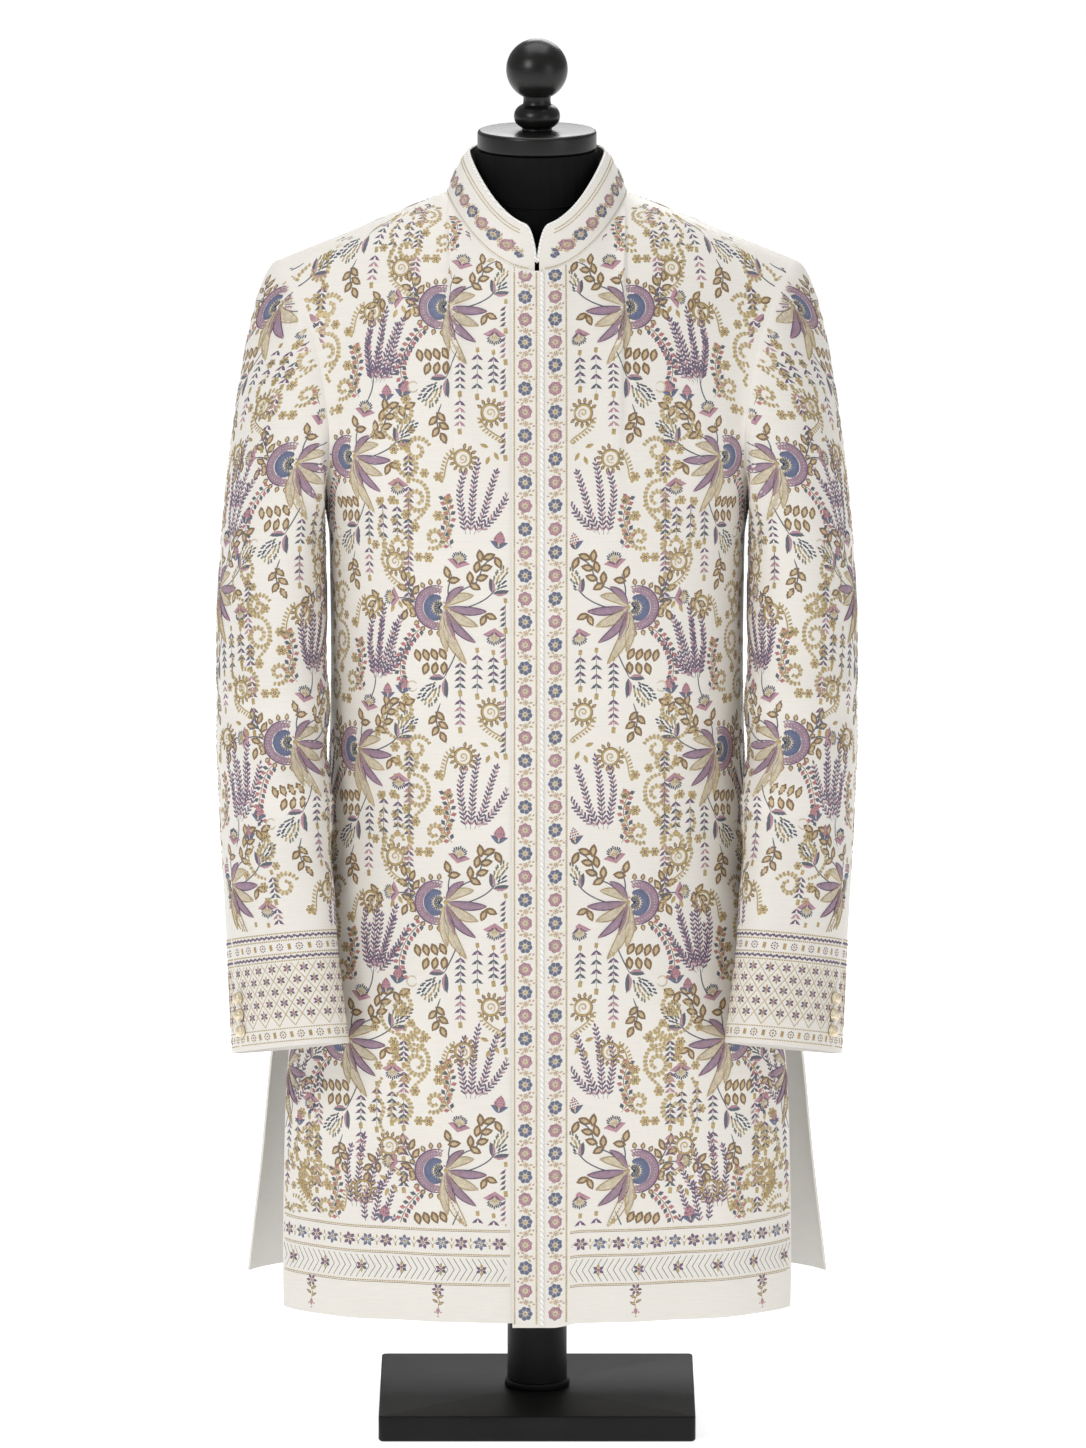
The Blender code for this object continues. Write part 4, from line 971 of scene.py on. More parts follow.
def scrolls(work):
    """Gold scrolls with round rosettes, which fill the way between two columns."""
    for x, y, radius, start, turns in (
        (-28, -141, 13, 200, -1.15),
        (-20, -108, 14, 20, 1.25),
        (-39, -60, 17, 250, 1.30),
        (-2, -70, 12, 120, -1.20),
        (-36, 106, 12, 300, 1.15),
        (-20, 142, 14, 340, -1.20),
    ):
        ticked(work, spiral(x, y, radius, start, turns, 0.28, 30))
    for path in (
        ((-28, -128), (-14, -124), (-8, -112), (-12, -96), (-24, -84)),
        ((-56, -92), (-62, -76), (-54, -62), (-58, -46), (-52, -34)),
        ((-48, 100), (-58, 112), (-52, 128), (-40, 134)),
        ((10, -66), (14, -78), (8, -90), (14, -100)),
    ):
        ticked(work, curve(path, 5), 5.6)
    for x, y, size in (
        (-34, -161, 1.0), (-42, -122, 1.0), (-46, -106, 0.9), (-31, -92, 1.0), (-44, -86, 0.8),
        (-22, -80, 1.0), (2, -92, 1.0), (-18, -50, 0.9), (-8, -50, 1.0), (12, -108, 0.9),
        (-12, -134, 0.9), (-32, 92, 1.0), (-44, 142, 1.0), (-41, 157, 0.9), (2, 168, 0.9),
        (-26, 122, 0.8), (-60, -104, 0.9), (-66, -60, 0.9), (-64, 128, 0.9),
    ):
        scroll_rosette(work, x, y, size)


@functools.lru_cache(maxsize=None)
def repeat():
    """One repeat of the all-over pattern, charted in pixels of the photograph, with y down."""
    work = Work()
    scrolls(work)
    for path in (
        ((-20, -4), (-30, -8), (-42, -8)),
        ((-22, -8), (-28, -18), (-32, -32)),
        ((14, -4), (12, -18), (16, -34)),
        ((12, -4), (26, -18), (40, -26), (48, -44), (60, -52)),
        ((10, 4), (34, -2), (50, -10), (60, -20)),
        ((22, 40), (16, 54), (8, 70)),
        ((4, 96), (0, 110), (2, 126)),
        ((-58, -4), (-66, -4), (-72, 6)),
    ):
        cord(work, "slate", curve(path, 4), 1.3, 0.35)
    crescent(work)
    ribbons(work)
    thistle(work, -43, -8, 184, 0.92)
    for x, y, turn in (
        (-34, -31, -100), (-25, -26, -70), (-36, -19, -165), (-21, -17, -60), (-31, -4, 200),
        (-33, 9, 110), (-24, 5, 60), (-67, -10, 225), (-60, -1, 80), (-71, 0, 150), (-72, 10, 110),
    ):
        fat_leaf(work, x, y, turn, 11.5, 6.6)
    for x, y, turn in (
        (11, -36, -110), (18, -28, -10), (34, -31, -95), (39, -22, 25), (46, -31, -20), (41, -42, -80),
        (50, -41, -15), (44, -53, -100), (53, -52, -25), (62, -46, 60), (70, -52, -30),
    ):
        fat_leaf(work, x, y, turn, 12.0, 7.2)
    thistle(work, 22, -44, -78, 0.95, "pink", "navy")
    berry_twig(work, [(16, -60), (8, -72), (14, -90), (9, -110)], 5.6, ("coral", "slate"))
    for path in (
        ((30, -74), (26, -96), (24, -118), (28, -134)),
        ((34, -74), (36, -98), (38, -124), (42, -146)),
        ((38, -74), (48, -96), (54, -118), (60, -136)),
        ((42, -76), (56, -90), (66, -104), (72, -116)),
    ):
        plume(work, path, 4.6, 6.6, 2.3)
    cone_bud(work, 62, -62, -82, 0.95)
    seed_spray(work, 58, -20, -52, 0.95)
    plume_leaf(work, 56, -16, -100, 15, 6.0)
    plume_leaf(work, 57, -15, -12, 16, 6.0)
    for x, y, turn in ((47, 12, 110), (55, 8, 20)):
        fat_leaf(work, x, y, turn, 11.5, 6.6)
    thistle(work, 58, 24, 92, 0.95, "pink", "navy")
    wheat_string(work, 69, -8, 150)
    wheat_string(work, 57, 44, 82)
    wheat_string(work, 41, 42, 90)
    wheat_string(work, 24, 50, 124)
    medallion(work, 54, 104, 0.92, 0.0)
    medallion(work, 27, 149, 0.92, 1.2)
    for x, y, turn in ((52, 138, 200), (58, 143, 60), (53, 147, 110)):
        petal(work, "gold", x, y, 9.0, 4.0, math.radians(turn), 0.55, 3)
    berry_twig(work, [(-13, 20), (-21, 26), (-31, 39), (-37, 54), (-38, 66), (-35, 76)], 5.6)
    cord(work, "cream", arc(-25, 80, 5.2, 20, 330, 12), 1.5, 0.6)
    for k in range(4):
        fat_leaf(work, -19 + k * 8.6, 49 - k * 0.8, 70 - 4 * k, 12.0, 7.4)
        if k < 3:
            fat_leaf(work, -11 + k * 9.4, 62 - k * 0.6, 105 - 6 * k, 12.0, 7.4)
    plume_leaf(work, 8, 70, 172, 16, 6.2)
    plume_leaf(work, 9, 71, 84, 20, 6.6)
    seed_spray(work, 2, 76, 128, 1.0)
    for x, y, turn in ((4, 109, 40), (-4, 113, 130), (7, 118, 30), (-1, 124, 120), (7, 130, 60)):
        fat_leaf(work, x, y, turn, 11.5, 7.0)
    for path in (
        ((-68, 74), (-72, 58), (-74, 42), (-72, 28)),
        ((-66, 72), (-64, 52), (-60, 34), (-58, 16)),
        ((-64, 72), (-56, 54), (-50, 38), (-44, 20)),
        ((-62, 74), (-52, 64), (-47, 58), (-44, 50)),
    ):
        plume(work, path, 4.6, 6.2, 2.2)
    cord(work, "slate", curve([(-66, 70), (-68, 84), (-74, 98)], 4), 1.3, 0.35)
    cone_bud(work, -52, 92, -92, 0.86)
    made = Work()
    made.stamp(work, 0, 0, math.pi, PIXEL)
    return made


@functools.lru_cache(maxsize=None)
def hem_sprig():
    """The small hanging sprig on the plain band above the hem, upright and 27 mm tall."""
    work = Work()
    cord(work, "gold", curve([(0, 13), (1.2, 7), (-1.2, 1), (0, -5)], 3), 0.8, 0.35)
    flower(work, 0, 11.5, 6, 5.2, 2.4, "purple", "pink", "gold")
    for y, sign in ((6, 1), (4, -1), (0, 1), (-2, -1)):
        way = math.radians(90 - sign * 60)
        two_tone_leaf(work, "brown", "tan", 0, y, 6.0, 2.6, way)
    petal(work, "pink", 0, -4.5, 6.0, 3.2, -math.pi / 2, 0.5, 4)
    beads(work, "gold", (0.0, -2.6, 2.6), (-12.0, -8.5, -8.5), 0.9, 0.5, 6)
    return work


@functools.lru_cache(maxsize=None)
def lattice_cell():
    """The filling of one diamond of the cuff's lattice, round its own middle."""
    work = Work()
    for turn, thread in ((0.55, "purple"), (2.6, "purple"), (3.7, "slate"), (5.75, "purple")):
        petal(work, thread, 0.9 * math.cos(turn), 0.9 * math.sin(turn), 4.0, 2.4, turn, 0.6, 3)
    for turn in (math.pi / 2, -math.pi / 2):
        petal(work, "gold", 0.0, math.copysign(1.0, turn), 4.6, 1.9, turn, 0.6, 3)
    beads(work, "coral", 0, 0, 1.15, 0.85, 6)
    return work


# Materials


def new_look(name, colour, roughness, metallic=0.0, sheen=0.0, specular=0.5, coat=0.0):
    """A material with its fixed values on the shader's own sockets."""
    made = bpy.data.materials.new(name)
    made.use_nodes = True
    shader = made.node_tree.nodes["Principled BSDF"]
    shader.inputs["Base Color"].default_value = (*colour, 1.0)
    shader.inputs["Roughness"].default_value = roughness
    shader.inputs["Metallic"].default_value = metallic
    shader.inputs["Sheen Weight"].default_value = sheen
    shader.inputs["Specular IOR Level"].default_value = specular
    shader.inputs["Coat Weight"].default_value = coat
    made.diffuse_color = (*colour, 1.0)
    return made


class Nodes:
    """Short names for the nodes that the materials share."""

    def __init__(self, look):
        self.tree = look.node_tree
        self.shader = self.tree.nodes["Principled BSDF"]

    def add(self, kind, **values):
        node = self.tree.nodes.new(kind)
        for key, value in values.items():
            setattr(node, key, value)
        return node

    def link(self, source, target):
        self.tree.links.new(source, target)

    def place(self, scale, uv=False):
        """Texture coordinates in metres times this scale, from the cloth's own map or the object."""
        if uv:
            source = self.add("ShaderNodeUVMap", uv_map="cloth").outputs["UV"]
        else:
            source = self.add("ShaderNodeTexCoord").outputs["Object"]
        mapping = self.add("ShaderNodeMapping")
        mapping.inputs["Scale"].default_value = scale
        self.link(source, mapping.inputs["Vector"])
        return mapping.outputs["Vector"]

    def noise(self, vector, detail=3.0, scale=1.0, roughness=0.55):
        node = self.add("ShaderNodeTexNoise")
        node.inputs["Scale"].default_value = scale
        node.inputs["Detail"].default_value = detail
        node.inputs["Roughness"].default_value = roughness
        self.link(vector, node.inputs["Vector"])
        return node.outputs["Fac"]

    def ramp(self, value, rows):
        """A colour ramp from rows of position and colour."""
        node = self.add("ShaderNodeValToRGB")
        steps = node.color_ramp.elements
        steps[0].position, steps[0].color = rows[0][0], (*rows[0][1], 1.0)
        steps[1].position, steps[1].color = rows[-1][0], (*rows[-1][1], 1.0)
        for position, colour in rows[1:-1]:
            step = steps.new(position)
            step.color = (*colour, 1.0)
        self.link(value, node.inputs["Fac"])
        return node.outputs["Color"]

    def math(self, kind, first, second):
        node = self.add("ShaderNodeMath", operation=kind)
        for socket, value in zip(node.inputs, (first, second)):
            if isinstance(value, (int, float)):
                socket.default_value = value
            else:
                self.link(value, socket)
        return node.outputs[0]

    def mix(self, kind, amount, first, second):
        node = self.add("ShaderNodeMix", data_type="RGBA", blend_type=kind)
        node.inputs["Factor"].default_value = amount
        self.link(first, node.inputs["A"])
        self.link(second, node.inputs["B"])
        return node.outputs["Result"]

    def bump(self, height, distance, strength=1.0, after=None):
        node = self.add("ShaderNodeBump")
        node.inputs["Distance"].default_value = distance
        node.inputs["Strength"].default_value = strength
        self.link(height, node.inputs["Height"])
        if after is not None:
            self.link(after, node.inputs["Normal"])
        return node.outputs["Normal"]

    def colour_from(self, colour):
        self.link(colour, self.shader.inputs["Base Color"])

    def roughness_from(self, value, low, high):
        node = self.add("ShaderNodeMapRange")
        node.inputs["To Min"].default_value = low
        node.inputs["To Max"].default_value = high
        self.link(value, node.inputs["Value"])
        self.link(node.outputs["Result"], self.shader.inputs["Roughness"])

    def normal_from(self, normal):
        self.link(normal, self.shader.inputs["Normal"])


def shade(colour, factor):
    return tuple(min(1.0, c * factor) for c in colour)


def satin_look(name, colour, roughness, slub):
    """Woven silk: a fine weave, thicker slubs along the weft, and a broad soft variation."""
    look = new_look(name, colour, roughness, sheen=0.18, specular=0.38)
    n = Nodes(look)
    broad = n.noise(n.place((9.0, 5.0, 9.0)), 2.0)
    weft = n.noise(n.place((55.0, 1150.0, 1.0), uv=True), 3.0)
    warp = n.noise(n.place((1300.0, 60.0, 1.0), uv=True), 2.0)
    tone = n.ramp(broad, ((0.30, shade(colour, 0.965)), (0.70, shade(colour, 1.025))))
    weave_tone = n.ramp(weft, ((0.30, shade(colour, 1.0 - slub)), (0.62, shade(colour, 1.03))))
    n.colour_from(n.mix("MIX", 0.45, tone, weave_tone))
    n.roughness_from(weft, roughness - 0.07, roughness + 0.10)
    fine = n.bump(n.math("ADD", weft, warp), 0.00022, 0.55)
    n.normal_from(n.bump(broad, 0.0012, 0.25, fine))
    return look


def thread_look(name, colour, roughness=0.42, metallic=0.0, spread=0.16):
    """Embroidery thread: fine strands, and small changes of tone from stitch to stitch."""
    look = new_look(name, colour, roughness, metallic=metallic, sheen=0.10, specular=0.5)
    n = Nodes(look)
    patches = n.noise(n.place((260.0, 260.0, 260.0)), 2.0)
    strands = n.noise(n.place((1900.0, 1900.0, 700.0)), 2.0)
    rows = ((0.28, shade(colour, 1 - spread)), (0.5, colour), (0.74, shade(colour, 1 + spread)))
    n.colour_from(n.ramp(patches, rows))
    n.roughness_from(strands, roughness - 0.08, roughness + 0.12)
    n.normal_from(n.bump(strands, 0.00012, 0.6))
    return look


THREADS = {
    "gold": ((0.430, 0.320, 0.140), 0.36, 0.25),
    "brown": ((0.205, 0.125, 0.060), 0.50, 0.0),
    "tan": ((0.520, 0.410, 0.250), 0.42, 0.10),
    "purple": ((0.150, 0.090, 0.160), 0.48, 0.0),
    "mauve": ((0.300, 0.205, 0.270), 0.48, 0.0),
    "pink": ((0.430, 0.235, 0.275), 0.48, 0.0),
    "coral": ((0.430, 0.170, 0.165), 0.48, 0.0),
    "blue": ((0.120, 0.140, 0.235), 0.48, 0.0),
    "navy": ((0.045, 0.060, 0.110), 0.50, 0.0),
    "slate": ((0.100, 0.110, 0.135), 0.50, 0.0),
    "sage": ((0.170, 0.170, 0.125), 0.50, 0.0),
    "cream": ((0.560, 0.490, 0.370), 0.46, 0.0),
}
IVORY = (0.772, 0.741, 0.686)
# The lining's own pale ivory, made paler than the outer satin as painted light, standing in for light that
# the inside of the coat doesn't get
LINING_WITH_PAINTED_LIGHT = (0.820, 0.795, 0.750)


def piping_look():
    """White cord with its twist, and painted shade in the grooves of the twist."""
    look = new_look("corded_white", (0.88, 0.87, 0.84), 0.5, sheen=0.2, specular=0.4)
    n = Nodes(look)
    twist = n.add("ShaderNodeTexWave", wave_type="BANDS", bands_direction="DIAGONAL")
    twist.inputs["Scale"].default_value = 1.0
    n.link(n.place((130.0, 130.0, 130.0)), twist.inputs["Vector"])
    # The colour darkens where the twist is low: painted shade in the grooves between the strands
    n.colour_from(n.ramp(twist.outputs["Fac"], ((0.1, (0.70, 0.68, 0.64)), (0.6, (0.90, 0.89, 0.86)))))
    n.normal_from(n.bump(twist.outputs["Fac"], 0.0004, 0.7))
    return look


def button_look():
    look = new_look("cream_gold_button", (0.76, 0.67, 0.50), 0.30, metallic=0.30, specular=0.6)
    n = Nodes(look)
    patches = n.noise(n.place((420.0, 420.0, 420.0)), 3.0)
    tones = ((0.3, (0.58, 0.47, 0.30)), (0.55, (0.76, 0.67, 0.50)), (0.8, (0.84, 0.79, 0.68)))
    n.colour_from(n.ramp(patches, tones))
    n.roughness_from(patches, 0.24, 0.42)
    n.normal_from(n.bump(patches, 0.0004, 0.5))
    return look


def jersey_look():
    """Matt black knit with fine ribs up and down."""
    look = new_look("jersey_black", (0.006, 0.006, 0.006), 0.88, sheen=0.0, specular=0.10)
    n = Nodes(look)
    rib = n.noise(n.place((900.0, 900.0, 120.0)), 2.0)
    broad = n.noise(n.place((25.0, 25.0, 25.0)), 3.0)
    n.colour_from(n.ramp(broad, ((0.3, (0.0045, 0.0045, 0.0050)), (0.7, (0.0080, 0.0080, 0.0085)))))
    n.roughness_from(rib, 0.78, 0.95)
    n.normal_from(n.bump(rib, 0.0004, 0.6))
    return look


def lacquer_look():
    """Turned wood under satin black lacquer, with faint rings of the lathe."""
    look = new_look("lacquer_black", (0.006, 0.006, 0.006), 0.34, specular=0.28, coat=0.10)
    look.node_tree.nodes["Principled BSDF"].inputs["Coat Roughness"].default_value = 0.25
    n = Nodes(look)
    grain = n.noise(n.place((60.0, 60.0, 900.0)), 3.0)
    n.colour_from(n.ramp(grain, ((0.3, (0.005, 0.005, 0.005)), (0.7, (0.009, 0.009, 0.008)))))
    n.roughness_from(grain, 0.27, 0.40)
    n.normal_from(n.bump(grain, 0.00015, 0.4))
    return look


def coated_steel_look():
    """Black powder coat with its fine orange-peel surface."""
    look = new_look("powder_black", (0.008, 0.008, 0.008), 0.46, specular=0.16)
    n = Nodes(look)
    peel = n.noise(n.place((750.0, 750.0, 750.0)), 2.0)
    broad = n.noise(n.place((14.0, 14.0, 14.0)), 3.0)
    n.colour_from(n.ramp(broad, ((0.3, (0.006, 0.006, 0.006)), (0.7, (0.011, 0.011, 0.011)))))
    n.roughness_from(broad, 0.36, 0.50)
    n.normal_from(n.bump(peel, 0.00025, 0.5))
    return look


FLOOR_GLOW = 0.72


def floor_look():
    look = new_look("floor", (0.86, 0.86, 0.86), 0.9, specular=0.1)
    shader = look.node_tree.nodes["Principled BSDF"]
    shader.inputs["Emission Color"].default_value = (1.0, 1.0, 1.0, 1.0)
    shader.inputs["Emission Strength"].default_value = FLOOR_GLOW
    n = Nodes(look)
    broad = n.noise(n.place((1.2, 1.2, 1.2)), 2.0)
    n.colour_from(n.ramp(broad, ((0.2, (0.85, 0.85, 0.85)), (0.8, (0.88, 0.88, 0.88)))))
    return look


# Meshes


def add_piece(name, points, faces, looks, slots=None, uvs=None, sharp=None):
    """An object from arrays of points and triangles or quads."""
    mesh = bpy.data.meshes.new(name)
    faces = np.asarray(faces, np.int32)
    size = faces.shape[1]
    mesh.vertices.add(len(points))
    mesh.vertices.foreach_set("co", np.asarray(points, np.float32).ravel())
    mesh.loops.add(faces.size)
    mesh.loops.foreach_set("vertex_index", faces.ravel())
    mesh.polygons.add(len(faces))
    mesh.polygons.foreach_set("loop_start", np.arange(0, faces.size, size, dtype=np.int32))
    mesh.polygons.foreach_set("loop_total", np.full(len(faces), size, np.int32))
    for look in looks:
        mesh.materials.append(look)
    if slots is not None:
        mesh.polygons.foreach_set("material_index", np.asarray(slots, np.int32))
    mesh.update(calc_edges=True)
    if uvs is not None:
        layer = mesh.uv_layers.new(name="cloth")
        layer.data.foreach_set("uv", np.asarray(uvs, np.float32)[faces.ravel()].ravel())
    mesh.shade_smooth()
    if sharp is not None:
        mesh.set_sharp_from_angle(angle=math.radians(sharp))
    made = bpy.data.objects.new(name, mesh)
    bpy.context.scene.collection.objects.link(made)
    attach(made, "root")
    return made


def quads(rows, columns, start=0, flip=False):
    r, c = np.meshgrid(np.arange(rows - 1), np.arange(columns - 1), indexing="ij")
    a = start + r * columns + c
    made = np.stack([a, a + 1, a + columns + 1, a + columns], axis=-1).reshape(-1, 4)
    return made[:, ::-1] if flip else made


def shell(name, cloth, wall, looks, mirror=False, closed=False):
    """A cloth wall: its outer face, its lining and its edges."""
    rows, columns, _ = cloth.grid.shape
    outer = cloth.grid
    inner = outer - cloth.normals * wall
    count = rows * columns
    points = np.concatenate([outer.reshape(-1, 3), inner.reshape(-1, 3)])
    flat = np.stack([cloth.across, cloth.along], axis=-1).reshape(-1, 2)
    uvs = np.concatenate([flat, flat])
    parts = [quads(rows, columns), quads(rows, columns, count, flip=True)]
    slots = [np.zeros(len(parts[0])), np.ones(len(parts[1]))]
    first, last = np.arange(columns), (rows - 1) * columns + np.arange(columns)
    edges = [(first[1:], first[:-1]), (last[:-1], last[1:])]
    if not closed:
        left, right = np.arange(rows) * columns, np.arange(rows) * columns + columns - 1
        edges += [(left[:-1], left[1:]), (right[1:], right[:-1])]
    for a, b in edges:
        parts.append(np.stack([a, b, b + count, a + count], axis=1))
        slots.append(np.zeros(len(a)))
    faces = np.concatenate(parts)
    if mirror:
        points = points * (-1.0, 1.0, 1.0)
        faces = faces[:, ::-1]
    if closed:
        faces = joined_ring(points, faces, columns)
    return add_piece(name, points, faces, looks, np.concatenate(slots), uvs, 55)


def joined_ring(points, faces, columns):
    """The last column of a closed tube is its first one."""
    number = np.arange(len(points))
    column = number % columns
    number[column == columns - 1] -= columns - 1
    return number[faces]


def sew(name, cloth, work, looks, mirror=False, low=None, high=None, bottom=None, top=None, margin=0.0015):
    """Lays flat thread work on the cloth, without what falls outside it or outside these limits."""
    all_points, all_faces, all_slots = [], [], []
    start = 0
    for thread, (flat, faces, groups) in work.joined().items():
        flat = flat / 1000
        if len(faces) == 0:
            continue
        placed, inside = cloth.place(flat)
        out = inside < margin
        if low is not None:
            out |= flat[:, 0] < low
        if high is not None:
            out |= flat[:, 0] > high
        if bottom is not None:
            out |= flat[:, 1] < bottom
        if top is not None:
            out |= flat[:, 1] > top
        flat_edges = np.linalg.norm(flat[faces] - flat[np.roll(faces, 1, axis=1)], axis=2)
        edges = np.linalg.norm(placed[faces] - placed[np.roll(faces, 1, axis=1)], axis=2)
        ratio = edges / np.maximum(flat_edges, 1e-7)
        torn = (ratio.max(axis=1) > MOST_STRETCH) | (ratio.min(axis=1) < LEAST_STRETCH)
        dropped = np.zeros(groups.max() + 1, bool)
        dropped[groups[out[faces].any(axis=1) | torn]] = True
        faces = faces[~dropped[groups]]
        if len(faces) == 0:
            continue
        used, faces = np.unique(faces, return_inverse=True)
        faces = faces.reshape(-1, 3)
        all_points.append(placed[used])
        all_faces.append(faces + start)
        all_slots.append(np.full(len(faces), THREAD_ORDER.index(thread)))
        start += len(used)
    points, faces = np.concatenate(all_points), np.concatenate(all_faces)
    if mirror:
        points = points * (-1.0, 1.0, 1.0)
        faces = faces[:, ::-1]
    return add_piece(name, points, faces, looks, np.concatenate(all_slots))


THREAD_ORDER = list(THREADS)


def tube(name, centres, radius, look, steps=10, flat=1.0, normals=None):
    """A round or flattened cord along a path, closed at its ends."""
    centres = np.asarray(centres, float)
    ways = unit(np.gradient(centres, axis=0))
    up = np.tile((0.0, 0.0, 1.0), (len(centres), 1)) if normals is None else normals
    side = unit(np.cross(ways, up))
    out = unit(np.cross(side, ways))
    rings = []
    for k in range(steps):
        t = 2 * math.pi * k / steps
        rings.append(centres + side * radius * math.cos(t) + out * radius * flat * math.sin(t))
    rings = np.stack(rings, axis=1)
    return loft(name, rings, look)


def loft(name, rings, look, sharp=None):
    """A closed body through rings of equal count, with a fan at each end."""
    rings = np.asarray(rings, float)
    count, steps, _ = rings.shape
    ends = np.stack([rings[0].mean(axis=0), rings[-1].mean(axis=0)])
    points = np.concatenate([rings.reshape(-1, 3), ends])
    faces = []
    r, k = np.meshgrid(np.arange(count - 1), np.arange(steps), indexing="ij")
    after = (k + 1) % steps
    a, b = r * steps + k, r * steps + after
    faces.append(np.stack([a, b, b + steps], axis=-1).reshape(-1, 3))
    faces.append(np.stack([a, b + steps, a + steps], axis=-1).reshape(-1, 3))
    k = np.arange(steps)
    after = (k + 1) % steps
    low, high = np.full(steps, count * steps), np.full(steps, count * steps + 1)
    faces.append(np.stack([low, after, k], axis=1))
    last = (count - 1) * steps
    faces.append(np.stack([high, last + k, last + after], axis=1))
    faces = np.concatenate(faces)
    corners = points[faces]
    volume = np.einsum("ij,ij->i", corners[:, 0], np.cross(corners[:, 1], corners[:, 2])).sum()
    if volume < 0:
        faces = faces[:, ::-1]
    return add_piece(name, points, faces, [look], sharp=sharp)


def turned(name, profile, look, centre=(0.0, 0.0), steps=96, sharp=45):
    turns = np.linspace(0, 2 * math.pi, steps, endpoint=False)
    rings = [
        [(centre[0] + r * math.cos(t), centre[1] + r * math.sin(t), z) for t in turns]
        for r, z in profile
    ]
    return loft(name, rings, look, sharp)


# Coat pieces

NEAR_STEPS = 10
NECK_STEPS = 10
SIDE_STEPS = 26
LOWER_ROWS = 28
RISE_ROWS = 3
UPPER_ROWS = 20
ROW_TIMES = 3
COLUMN_TIMES = 2


def body_ways():
    lower = np.linspace(0.0, 1.0, LOWER_ROWS + 1)
    rise = np.linspace(1.0, UNDERARM_WAY, RISE_ROWS + 1)[1:]
    upper = np.linspace(UNDERARM_WAY, 2.0, UPPER_ROWS + 1)[1:]
    return np.concatenate([lower, rise, upper])


def fine_ways():
    ways = body_ways()
    places = np.linspace(0, len(ways) - 1, (len(ways) - 1) * ROW_TIMES + 1)
    return np.interp(places, np.arange(len(ways)), ways)


def front_grid():
    """The front panel at +X, with near columns at even distances from the middle."""
    grid = []
    near = np.linspace(-OVERLAP_WIDTH, OVERLAP_WIDTH, NEAR_STEPS + 1)
    for way in body_ways():
        start = share_of(OVERLAP_WIDTH, way)
        shares = [share_of(distance, way) for distance in near]
        shares += list(start + (NECK_SHARE - start) * np.linspace(0, 1, NECK_STEPS + 1)[1:])
        shares += list(np.linspace(NECK_SHARE, 1.0, SIDE_STEPS + 1)[1:])
        grid.append([coat_point(FRONT, share, way) for share in shares])
    return finer_both(np.array(grid))


def finer_both(grid):
    rows = finer_axis(grid, ROW_TIMES, 0)
    return finer_axis(rows, COLUMN_TIMES, 1)


def finer_axis(grid, times, axis):
    rows = np.moveaxis(grid, axis, 0)
    padded = np.concatenate([2 * rows[:1] - rows[1:2], rows, 2 * rows[-1:] - rows[-2:-1]])
    p0, p1, p2, p3 = padded[:-3], padded[1:-2], padded[2:-1], padded[3:]
    made = [hermite(p1, (p2 - p0) / 2, p2, (p3 - p1) / 2, k / times) for k in range(times)]
    fine = np.stack(made, axis=1).reshape(-1, *rows.shape[1:])
    return np.moveaxis(np.concatenate([fine, rows[-1:]]), 0, axis)


def back_grid():
    """The back panel, from the wearer's left side seam to the right one."""
    neck = np.linspace(0, NECK_SHARE, NECK_STEPS + 1)
    side = np.linspace(NECK_SHARE, 1.0, SIDE_STEPS + 1)[1:]
    half = np.concatenate([neck, side])
    shares = np.concatenate([half[::-1], -half[1:]])
    grid = [[coat_point(BACK, share, way) for share in shares] for way in body_ways()]
    return finer_both(np.array(grid))


SLEEVE_COLUMNS_ROUND = 48
CAP_ROWS = 14
ARM_ROWS = 40


def sleeve_surface():
    """The sleeve at +X from the cuff up, and round from its back seam by way of the front."""
    arm = 2 - np.linspace(0, 1, ARM_ROWS + 1)
    cap = (1 - np.linspace(0, 1, CAP_ROWS + 1)[1:]) ** 1.2
    shares = BACK_SLEEVE_SEAM - np.arange(SLEEVE_COLUMNS_ROUND + 1) / SLEEVE_COLUMNS_ROUND
    grid = np.array([[sleeve_point(share, way) for share in shares] for way in np.concatenate([arm, cap])])
    rows = finer_axis(grid, 2, 0)
    wrapped = np.concatenate([rows[:, -2:-1], rows, rows[:, 1:2]], axis=1)
    p0, p1, p2, p3 = wrapped[:, :-3], wrapped[:, 1:-2], wrapped[:, 2:-1], wrapped[:, 3:]
    made = [hermite(p1, (p2 - p0) / 2, p2, (p3 - p1) / 2, k / 2) for k in range(2)]
    fine = np.stack(made, axis=2).reshape(len(rows), -1, 3)
    return np.concatenate([fine, rows[:, -1:]], axis=1)


def crease(cloth, rows):
    """Soft folds, from rows of across, along, angle, length, width and depth in metres."""
    depth = np.zeros(cloth.across.shape)
    for across, along, degrees, length, width, deep in rows:
        turn = math.radians(degrees)
        u = cloth.across - across
        v = cloth.along - along
        along_fold = u * math.cos(turn) + v * math.sin(turn)
        off_fold = -u * math.sin(turn) + v * math.cos(turn) - 0.18 * along_fold**2 / length
        hollow = 0.55 * np.exp(-(((off_fold - 1.6 * width) / width) ** 2))
        ridge = np.exp(-((off_fold / width) ** 2)) - hollow
        depth += deep * ridge * np.exp(-((along_fold / (length / 2)) ** 2) * 1.4)
    return cloth.grid + cloth.normals * depth[..., None]


class Body(Cloth):
    """A cloth whose first and last columns meet, so that their normals agree."""

    def __init__(self, grid, zero, start, rising):
        super().__init__(grid, zero, start, rising=rising, leaning=0.0)
        wrapped = np.concatenate([grid[:, -3:-1], grid, grid[:, 1:3]], axis=1)
        self.normals = normals_of(wrapped)[:, 2:-2]


def height_along(cloth, across, height):
    """The distance up the cloth at which the column at this place reaches a height."""
    t = np.linspace(cloth.bottom, cloth.bottom + cloth.tall * 0.98, 400)
    flat = np.stack([np.full(400, across), t, np.zeros(400)], axis=1)
    points, inside = cloth.place(flat)
    good = inside > -0.003
    return float(np.interp(height, points[good, 2], t[good]))


